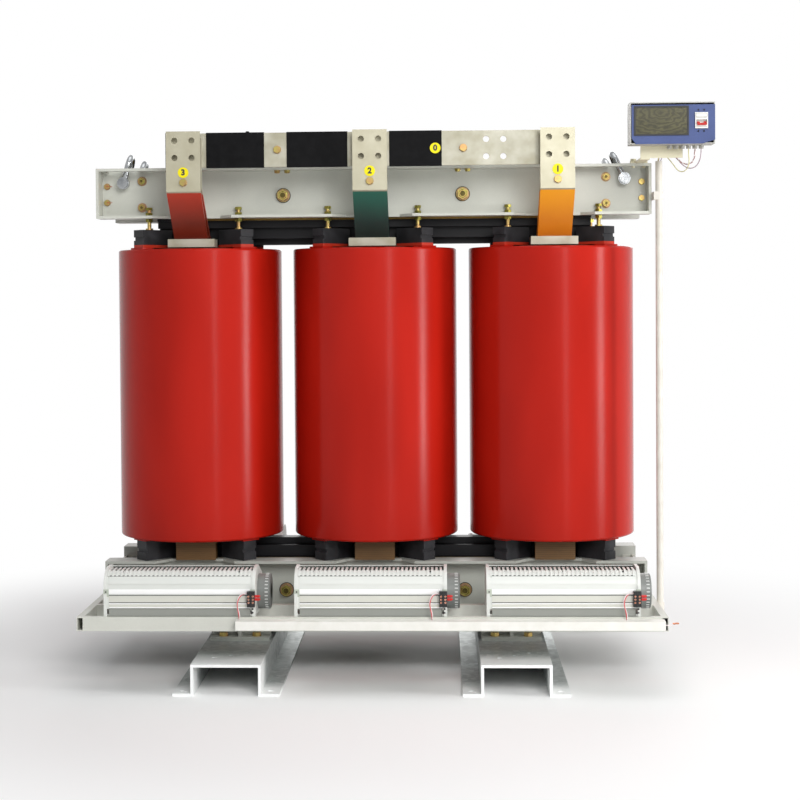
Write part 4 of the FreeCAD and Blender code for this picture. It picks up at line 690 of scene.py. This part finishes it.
def rolled_sheet(x0, x1, inner, outer, start, end, steps, drop_to=None):
    """A sheet around the fan's roll, from one angle above the front to another, in degrees."""
    bpy.ops.object.select_all(action="DESELECT")
    angle = math.radians(start)
    middle = (inner + outer) / 2
    place = Vector(((x0 + x1) / 2, ROLL[0] - middle * math.cos(angle),
                    ROLL[1] + middle * math.sin(angle)))
    bpy.ops.mesh.primitive_plane_add(size=1.0, location=place * MM, rotation=(-angle, 0, 0))
    piece = bpy.context.object
    piece.scale = ((x1 - x0) * MM, (outer - inner) * MM, 1.0)
    bpy.ops.object.transform_apply(location=True, rotation=True, scale=True)
    bpy.ops.object.mode_set(mode="EDIT")
    bpy.ops.mesh.select_all(action="SELECT")
    bpy.ops.mesh.spin(steps=steps, angle=math.radians(end - start),
                      center=(0, ROLL[0] * MM, ROLL[1] * MM),
                      axis=(-1, 0, 0))
    bpy.ops.mesh.select_all(action="SELECT")
    bpy.ops.mesh.remove_doubles(threshold=0.00001)
    bpy.ops.mesh.normals_make_consistent(inside=False)
    if drop_to is not None:
        pick(piece, lambda face: face.normal.z < -0.95)
        bpy.ops.mesh.extrude_region_move(TRANSFORM_OT_translate={"value": (0, 0,
                                                                           (drop_to - ROLL[1]) * MM)})
    bpy.ops.object.mode_set(mode="OBJECT")
    return piece


near, far = FAN_LEFT + 15.0, FAN_RIGHT - 14.0
panel = rolled_sheet(near, far, 53.0, 54.6, 0.0, 43.0, 8, drop_to=283.0)
crown = rolled_sheet(near, far, 53.0, 54.6, 46.5, 78.0, 8)
print(len(panel.data.polygons), "faces on the panel,", len(crown.data.polygons), "on the crown")

# %% Panels, seam shadows and beads of one fan
white = FINISHES["fan_case"]
panel_white = enamel("white panel enamel", "FAFAF9", "F2F3F1", 0.4, 3.0, 0.3)
FAN = [finished(panel, "fan panel", panel_white, "fan_case"),
       finished(crown, "fan crown", white, "fan_case")]

# Painted shadow: thin grey strips stand for the shade in the seams between the panels.
seam_shadow_grey = plastic("grey seam shadow", "585B57", "4A4D49", 0.6)
seam_shadow_roll = rolled_sheet(near, far, 53.0, 54.9, 43.0, 46.5, 2)
lines = [seam_shadow_roll] + [block((near, -497.8, z), (far, -496.8, z + 2.4)) for z in (280.6, 259.6)]
for line in lines[1:]:
    pick(line, facing(FORTH))
    bpy.ops.mesh.inset(thickness=0.0004)
    bpy.ops.object.mode_set(mode="OBJECT")
FAN.append(finished(joined(lines), "fan seam shadow", seam_shadow_grey, "fan_case"))

band_enamel = enamel("warm grey fan enamel", "D2D2C8", "BDBDB3", 0.45, 3.0, 0.4)
bands = [block((near, -498.4, 262.0), (far, -496.8, 280.6), 0.5),
         block((near, -498.0, 248.6), (far, -496.8, 256.4), 0.4)]
FAN.append(finished(joined(bands), "fan band", band_enamel, "fan_case"))
beads = [block((near, -499.4, z), (far, -496.8, z + 3.2), 1.2, 3) for z in (256.4, 245.4)]
FAN.append(finished(joined(beads), "fan bead", panel_white, "fan_case"))
# Painted shade: a mid grey strip with a shallow recess stands where the lower front of the fan lies in
# shadow.
shade_strip = block((near, -500.6, 222.6), (far, -496.6, 245.0), 0.8)
pick(shade_strip, facing(FORTH))
bpy.ops.mesh.inset(thickness=1.2 * MM)
bpy.ops.transform.translate(value=(0, 2.6 * MM, 0))
bpy.ops.object.mode_set(mode="OBJECT")
FAN.append(finished(shade_strip, "fan shade strip", enamel("grey enamel as painted shade", "949690", "84867F", 0.6),
                    "fan_case"))
print(len(FAN), "fittings on the fan's face")

# %% [markdown]
# The outlet is a grille of slats from front to back. One slat is a thin block whose nose is spun down
# over the roll; an Array modifier lays the other 33 beside it.

# %% Outlet grille
slat = rolled_sheet(-749.4, -743.2, 53.2, 56.0, 65.0, 90.0, 4)
pick(slat, facing(BACK))
bpy.ops.mesh.extrude_region_move(TRANSFORM_OT_translate={"value": (0, 42.0 * MM, 0)})
bpy.ops.object.mode_set(mode="OBJECT")
rows = slat.modifiers.new("rows", "ARRAY")
rows.count = 34
rows.use_relative_offset = False
rows.use_constant_offset = True
rows.constant_offset_displace = (12.18 * MM, 0, 0)
bpy.ops.object.modifier_apply(modifier="rows")
FAN.append(finished(slat, "fan grille", white, "fan_case"))
print(len(slat.data.polygons), "faces on the grille")

# %% [markdown]
# The ends of a fan are thick plates with a flange that follows the roll, painted a greener grey. The
# right one ends in a foot with two holes. Small dark screws hold the crown.

# %% End plates and screws
plate_enamel = enamel("pale green grey enamel", "BFC6B8", "9DA598", 0.45)
flanges = []
for x0, x1, foot in ((FAN_LEFT, FAN_LEFT + 14.4, 224.0), (FAN_RIGHT - 13.4, FAN_RIGHT, 224.0)):
    flanges.append(rolled_sheet(x0, x1, 56.0, 57.6, 0.0, 72.0, 8, drop_to=foot))
FAN.append(finished(joined(flanges), "fan end flange", plate_enamel, "fan_case"))

dark_zinc = plated("black zinc", "3A3A3C", "2A2A2C", 0.4)
crown_y, crown_z = ROLL[0] - 54.4 * math.cos(1.0), ROLL[1] + 54.4 * math.sin(1.0)
crown_way = (0, -math.cos(1.0), math.sin(1.0))
screws = [slot_screw((x, crown_y, crown_z), crown_way, 2.6, 1.4) for x in (-708.0, -541.6, -374.0)]
screws += [slot_screw((FAN_RIGHT - 7.0, -501.4, z), FORTH, 2.4, 1.2) for z in (233.0, 243.5)]
screws += [slot_screw((x, -501.4, 292.0), FORTH, 2.0, 1.2) for x in (FAN_LEFT + 7.0, FAN_RIGHT - 7.0)]
FAN.append(finished(joined(screws), "fan screws", dark_zinc, "zinc_yellow"))
print(len(FAN), "fittings so far")

# %% [markdown]
# The motor's end bell has a ring of short cooling ribs near its rim. One rib is modelled on top and
# spun round the axis as separate copies.

# %% Motor ribs
AXIS = (-402.0, 278.0)
rib = block((-305.0, AXIS[0] - 1.6, AXIS[1] + 49.2), (-296.0, AXIS[0] + 1.6, AXIS[1] + 51.4), 0.6)
bpy.ops.object.mode_set(mode="EDIT")
bpy.ops.mesh.select_all(action="SELECT")
bpy.ops.mesh.spin(steps=30, dupli=True, angle=2 * math.pi, center=(0, AXIS[0] * MM, AXIS[1] * MM),
                  axis=ACROSS)
bpy.ops.mesh.select_all(action="SELECT")
bpy.ops.mesh.remove_doubles(threshold=0.00001)
bpy.ops.object.mode_set(mode="OBJECT")
# Painted highlight: the ribs get a lighter copy of the motor lacquer, so they show as light dashes where
# light catches them.
rib_lacquer_with_highlight = enamel("light motor lacquer", "C9CBC8", "B2B4B1", 0.35)
FAN.append(finished(rib, "motor ribs", rib_lacquer_with_highlight, "motor_shell"))
ring = round_bar((-299.0, AXIS[0], AXIS[1]), ACROSS, 9.4, 40.0, 1.5, 48)
pick(ring, facing(ACROSS))
bpy.ops.mesh.inset(thickness=7.0 * MM)
bpy.ops.transform.translate(value=(-1.6 * MM, 0, 0))
bpy.ops.mesh.inset(thickness=9.0 * MM)
bpy.ops.transform.translate(value=(1.2 * MM, 0, 0))
bpy.ops.object.mode_set(mode="OBJECT")
FAN.append(finished(ring, "motor end bell", FINISHES["motor_shell"], "motor_shell"))

# %% [markdown]
# The terminal block has three rows of two copper screws between black walls. Two red push-on
# connectors sit on its right side.

# %% Terminal block
walls = [block((-349.0, -516.0, z - 0.9), (-327.0, -513.6, z + 0.9), 0.5) for z in (294.0, 285.6, 276.8,
                                                                                    268.0, 259.0, 252.0)]
walls.append(block((-339.0, -516.0, 252.0), (-337.0, -513.6, 294.0), 0.5))
FAN.append(finished(joined(walls), "terminal walls", FINISHES["terminal_black"], "terminal_black"))
heads = [slot_screw((x, -513.8, z), FORTH, 3.0, 1.8) for x in (-344.0, -332.0) for z in (281.2, 272.4,
                                                                                         263.6)]
FAN.append(finished(joined(heads), "terminal screws", plated("bright copper", "D2A08C", "B98670", 0.3),
                    "copper_bar"))
plugs = []
for z in (281.2, 272.6):
    plugs.append(block((-327.4, -513.0, z - 3.4), (-314.0, -505.0, z + 3.4), 1.2, 2))
    plugs.append(round_bar((-314.4, -509.0, z), ACROSS, 3.0, 2.6, 0.6, 14))
FAN.append(finished(joined(plugs), "red push-on connectors", FINISHES["toggle_red"], "toggle_red"))
print(len(FAN), "fittings on one fan")

# %% The other five fans
for index, fitting in enumerate(list(FAN)):
    label = fitting.name
    for place, shift in enumerate(FAN_STEPS):
        if shift:
            copied(fitting, "%s front %d" % (label, place), (shift, 0, 0))
        copied(fitting, "%s rear %d" % (label, place), (shift, 0, 0), turned=True)
print(len(SLOT_OF), "fitted pieces")

# %% [markdown]
# ### Wires
# The fan leads are a red and a white wire laid together; the control cable ends in a white and
# brown pair, a cream and a lilac wire. Each route is a NURBS curve through the same points as in the
# CAD model. A twisted wire follows the points read from that curve, turning about it once every
# 20 mm.

# %% Routes and strands
def smooth_route(points):
    """The points along a smooth curve, in metres."""
    curve = bpy.data.curves.new("route", "CURVE")
    curve.dimensions = "3D"
    curve.resolution_u = 10
    spline = curve.splines.new("NURBS")
    spline.points.add(len(points) - 1)
    for knot, place in zip(spline.points, points):
        knot.co = [v * MM for v in place] + [1.0]
    spline.order_u = 3
    spline.use_endpoint_u = True
    thing = bpy.data.objects.new("route", curve)
    mesh = bpy.data.meshes.new_from_object(thing)
    line = [v.co.copy() for v in mesh.vertices]
    bpy.data.objects.remove(thing)
    bpy.data.meshes.remove(mesh)
    return line


def strand(line, radius, offset=0.0, phase=0.0, twist=20.0):
    """A round wire along a line; an offset in millimetres makes it turn about that line."""
    points, side, run = [], Vector((0.3, 1.0, 0.1)), 0.0
    for index, here in enumerate(line):
        ahead = (line[min(index + 1, len(line) - 1)] - line[max(index - 1, 0)]).normalized()
        side = (side - ahead * side.dot(ahead)).normalized()
        run += (here - line[index - 1]).length if index else 0.0
        turn = run / (twist * MM) * 2 * math.pi + phase
        points.append(here + (side * math.cos(turn) + ahead.cross(side) * math.sin(turn)) * offset * MM)
    curve = bpy.data.curves.new("strand", "CURVE")
    curve.dimensions = "3D"
    curve.bevel_depth = radius * MM
    curve.bevel_resolution = 2
    curve.resolution_u = 2
    curve.use_fill_caps = True
    spline = curve.splines.new("NURBS")
    spline.points.add(len(points) - 1)
    for knot, place in zip(spline.points, points):
        knot.co = [*place, 1.0]
    spline.order_u = 3
    spline.use_endpoint_u = True
    thing = bpy.data.objects.new("strand", curve)
    bpy.context.collection.objects.link(thing)
    bpy.ops.object.select_all(action="DESELECT")
    thing.select_set(True)
    bpy.context.view_layer.objects.active = thing
    bpy.ops.object.convert(target="MESH")
    bpy.ops.object.shade_smooth()
    return bpy.context.object


def vinyl(name, code, shade):
    """The soft vinyl of a wire's jacket."""
    return plastic(name, code, shade, 0.4, 0.6, 60.0)


JACKETS = {"red": vinyl("red wire vinyl", "D2484C", "C13B40"),
           "white": vinyl("white wire vinyl", "E6DCDC", "DACFCF"),
           "brown": vinyl("brown wire vinyl", "9A5F5A", "87504C"), "yellow": vinyl("cream wire vinyl",
                                                                                   "D8D2A0", "C8C28E"),
           "lilac": vinyl("lilac wire vinyl", "B7A3AE", "A6929D")}

# %% Fan leads
LEAD_STEPS = ((0, 0, 0), (-14, 0, 0), (-24, -5, -11), (-28, -12, -28), (-23, -18, -44), (-20, -20, -57),
              (-20, -20, -71))
LEAD_START = (-349.0, -507.0, 288.0)
line = smooth_route([[a + b for a, b in zip(LEAD_START, step)] for step in LEAD_STEPS])
LEADS = [finished(strand(line, 1.3, 1.3, 0.0, 90.0), "fan lead red", JACKETS["red"], "wire_jacket"),
         finished(strand(line, 1.3, 1.3, math.pi, 90.0), "fan lead white", JACKETS["white"],
                  "wire_jacket")]
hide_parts("wires")
for lead in list(LEADS):
    label = lead.name
    for place, shift in enumerate(FAN_STEPS):
        if shift:
            copied(lead, "%s front %d" % (label, place), (shift, 0, 0))
        copied(lead, "%s rear %d" % (label, place), (shift, 0, 0), turned=True)
print("fan lead", round(sum((b - a).length for a, b in zip(line, line[1:])) * 1000, 1), "mm long")

# %% Control wires
CONDUIT_TOP = (847.0, -232.0, 1517.0)
GLANDS_X = {3: 917.0, 4: 935.0, 5: 953.0}
ROUTES = (
    ("pair", 4, ((0, 5, 0), (0, 3, 16), (7, -7, 30), (22, -21, 33), (38, -37, 18), (50, -54, -2),
                 (64, -71, -15), (78, -88, -16), (87, -104, -6))),
    ("yellow", 3, ((-3, -4, 0), (-2, -8, 12), (6, -18, 18), (20, -32, 10), (34, -50, -12),
                   (46, -68, -34),
                   (60, -86, -39), (70, -103, -28), (73, -113, -10))),
    ("lilac", 5, ((5, -3, 0), (9, -5, 13), (19, -11, 21), (34, -18, 20), (48, -30, 6), (63, -45, -16),
                  (80, -62, -28), (96, -80, -24), (104, -98, -9))))
for kind, gland, steps in ROUTES:
    points = [[a + b for a, b in zip(CONDUIT_TOP, step)] for step in steps]
    points += [(GLANDS_X[gland], -348.0, 1527.0), (GLANDS_X[gland], -348.0, 1543.0)]
    line = smooth_route(points)
    if kind == "pair":
        finished(strand(line, 1.15, 1.1, 0.0), "control wire white", JACKETS["white"], "wire_jacket")
        finished(strand(line, 1.15, 1.1, math.pi), "control wire brown", JACKETS["brown"],
                 "wire_jacket")
    else:
        finished(strand(line, 1.5), "control wire " + kind, JACKETS[kind], "wire_jacket")
    print(kind, round(sum((b - a).length for a, b in zip(line, line[1:])) * 1000, 1), "mm long")

# %% [markdown]
# ### Control box
# The smoked window sits in a thin dark gasket. A gasket is a ring, so it starts as a flat face that
# is inset; the middle is deleted and the ring pulled out. Small screws hold the breaker, whose two
# levers are tied by a bar and tilted together about their hinge.

# %% Window gasket and box screws
def open_ring(low, high, width, front, depth):
    """A flat rectangular ring that faces the front, between two corners given as X and Z."""
    bpy.ops.object.select_all(action="DESELECT")
    place = ((low[0] + high[0]) / 2 * MM, (front + depth) * MM, (low[1] + high[1]) / 2 * MM)
    bpy.ops.mesh.primitive_plane_add(size=1.0, location=place, rotation=(math.pi / 2, 0, 0))
    piece = bpy.context.object
    piece.scale = ((high[0] - low[0]) * MM, (high[1] - low[1]) * MM, 1.0)
    bpy.ops.object.transform_apply(location=True, rotation=True, scale=True)
    bpy.ops.object.mode_set(mode="EDIT")
    bpy.ops.mesh.select_all(action="SELECT")
    bpy.ops.mesh.inset(thickness=width * MM)
    bpy.ops.mesh.delete(type="FACE")
    bpy.ops.mesh.select_all(action="SELECT")
    bpy.ops.mesh.extrude_region_move(TRANSFORM_OT_translate={"value": (0, -depth * MM, 0)})
    bpy.ops.mesh.select_all(action="SELECT")
    bpy.ops.mesh.normals_make_consistent(inside=False)
    bpy.ops.object.mode_set(mode="OBJECT")
    return piece


gasket = open_ring((755.6, 1576.6), (910.4, 1660.4), 4.6, -402.4, 2.2)
finished(gasket, "window gasket", plastic("black gasket rubber", "141412", "22221F", 0.6),
         "block_moulding")
box_screws = [slot_screw((x, -400.0, z), FORTH, 2.5, 1.6) for x, z in
              ((937.6, 1648.4), (954.0, 1648.4), (937.0, 1588.4), (953.4, 1588.4))]
finished(joined(box_screws), "box screws", dark_zinc, "zinc_yellow")
breaker_ring = open_ring((930.0, 1628.0), (962.0, 1638.6), 1.2, -406.8, 1.0)
breaker_lines = [breaker_ring] + [block((930.0, -406.6, z), (962.0, -405.8, z + 1.4),
                                        0.3) for z in (1599.6, 1625.0)]
finished(joined(breaker_lines), "breaker mouldings",
         plastic("grey polyamide", "A9A8A3", "9B9A95", 0.45), "breaker_white")
bars = [block((x, -416.0, 1611.2), (x + 8.0, -402.0, 1615.8), 1.0, 2) for x in (932.6, 951.4)]
bars.append(block((932.6, -416.4, 1610.8), (959.4, -411.6, 1616.2), 1.2, 2))
levers = finished(joined(bars), "lever pair", FINISHES["toggle_red"], "toggle_red")
hinge = Vector((946.0, -403.0, 1613.5)) * MM
levers.data.transform(Matrix.Translation(hinge) @ Matrix.Rotation(math.radians(35.0), 4, "X")
                      @ Matrix.Translation(-hinge))
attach(levers, "lever")
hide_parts("breaker_toggle")
print("control box fitted")

# %% [markdown]
# ### Top of the frame
# Each phase disc carries a plain number, and the neutral disc a nought. Numbers are text objects,
# made a mesh before their place is applied. A square washer plate, a terminal cap on the long bar,
# the straw edge of the boards under the clamps, black painted shadow in the open ends of the tray's
# tubes, an earth lug and the paint marks that show a checked bolt finish the frame.

# %% Numbers on the discs
ink = plastic("black printing ink", "1C1C1A", "2A2A28", 0.5)
BAR_TOP = 1.52
DISC_SPAN = 0.03
corners = [v.co for v in nodes["phase_discs"].data.vertices]
for name, text in (("left", "3"), ("middle", "2"), ("right", "1"), ("neutral", "0")):
    if name in LEGS:
        spots = [v for v in corners if abs(v.x - LEGS[name]) < DISC_SPAN and v.z < BAR_TOP]
    else:
        spots = [v for v in corners if v.z > BAR_TOP]
    x = (min(v.x for v in spots) + max(v.x for v in spots)) / 2
    z = (min(v.z for v in spots) + max(v.z for v in spots)) / 2
    front = min(v.y for v in spots)
    bpy.ops.object.select_all(action="DESELECT")
    bpy.ops.object.text_add(location=(x, front - 0.0001, z), rotation=(math.pi / 2, 0, 0))
    mark = bpy.context.object
    mark.data.body = text
    mark.data.size = 0.023
    mark.data.extrude = 0.0002
    mark.data.offset = 0.0011
    mark.data.align_x = "CENTER"
    mark.data.align_y = "CENTER"
    bpy.ops.object.convert(target="MESH")
    bpy.ops.object.transform_apply(location=True, rotation=True, scale=True)
    finished(bpy.context.object, "disc number " + name, ink, "disc_yellow")
print("four discs numbered")

# %% Plates, cap, lug and paint marks
washer_plate = block((802.0, -126.2, 1400.0), (826.0, -123.4, 1431.0), 0.8)
finished(washer_plate, "square washer plate", enamel("pale plate enamel", "C6C7BF", "AEB0A8"),
         "clamp_paint")

cap = round_bar((-359.0, -303.0, 1606.0), UP, 5.0, 5.5, 1.4, 16)
foot = block((-366.0, -308.0, 1605.8), (-352.0, -298.0, 1607.6), 0.5)
finished(joined([cap, foot]), "bar end cap", FINISHES["sleeve_black"], "sleeve_black")

red_paint = enamel("red marking paint", "B5382E", "9C2E26", 0.5)
marks = []
for x, z in ((-809.0, 1464.5), (-809.0, 1415.5)):
    marks.append(block((x - 1.0, -132.8, z - 0.4), (x + 7.6, -131.6, z + 1.2), 0.3))
    marks.append(block((x + 7.2, -124.4, z - 0.2), (x + 15.0, -123.2, z + 1.2), 0.3))
finished(joined(marks), "paint marks", red_paint, "clamp_paint")

strips = [block((x, -115.4, 1359.0), (x + 473.0, -109.8, 1366.0), 0.6) for x in (-508.0, 35.0)]
strips = finished(joined(strips), "board edges front", FINISHES["press_board"], "press_board")
copied(strips, "board edges rear", turned=True)

# Painted shadow: a black block with a shallow recess fills each open tube end, whose inside lies in
# shade.
holes = [block((818.6, -509.8, z), (831.4, -506.0, z + 13.5), 0.8) for z in (186.0, 204.5)]
for hole in holes:
    pick(hole, facing(FORTH))
    bpy.ops.mesh.inset(thickness=1.0 * MM)
    bpy.ops.transform.translate(value=(0, 1.5 * MM, 0))
    bpy.ops.object.mode_set(mode="OBJECT")
finished(joined(holes), "tube end shadow", FINISHES["sleeve_black"], "sleeve_black")

line = smooth_route([(806, -530, 204), (822, -530, 204), (832, -530, 203), (842, -528, 205),
                     (851, -526, 210)])
finished(strand(line, 1.6), "earth lead", JACKETS["white"], "wire_jacket")
lug = block((850.0, -532.0, 206.6), (861.0, -520.0, 209.6), 0.6)
barrel = round_bar((844.0, -526.4, 207.2), ACROSS, 7.0, 2.6, 0.5, 14)
finished(joined([lug, barrel]), "earth lug", FINISHES["copper_bar"], "copper_bar")
print("frame fitted")
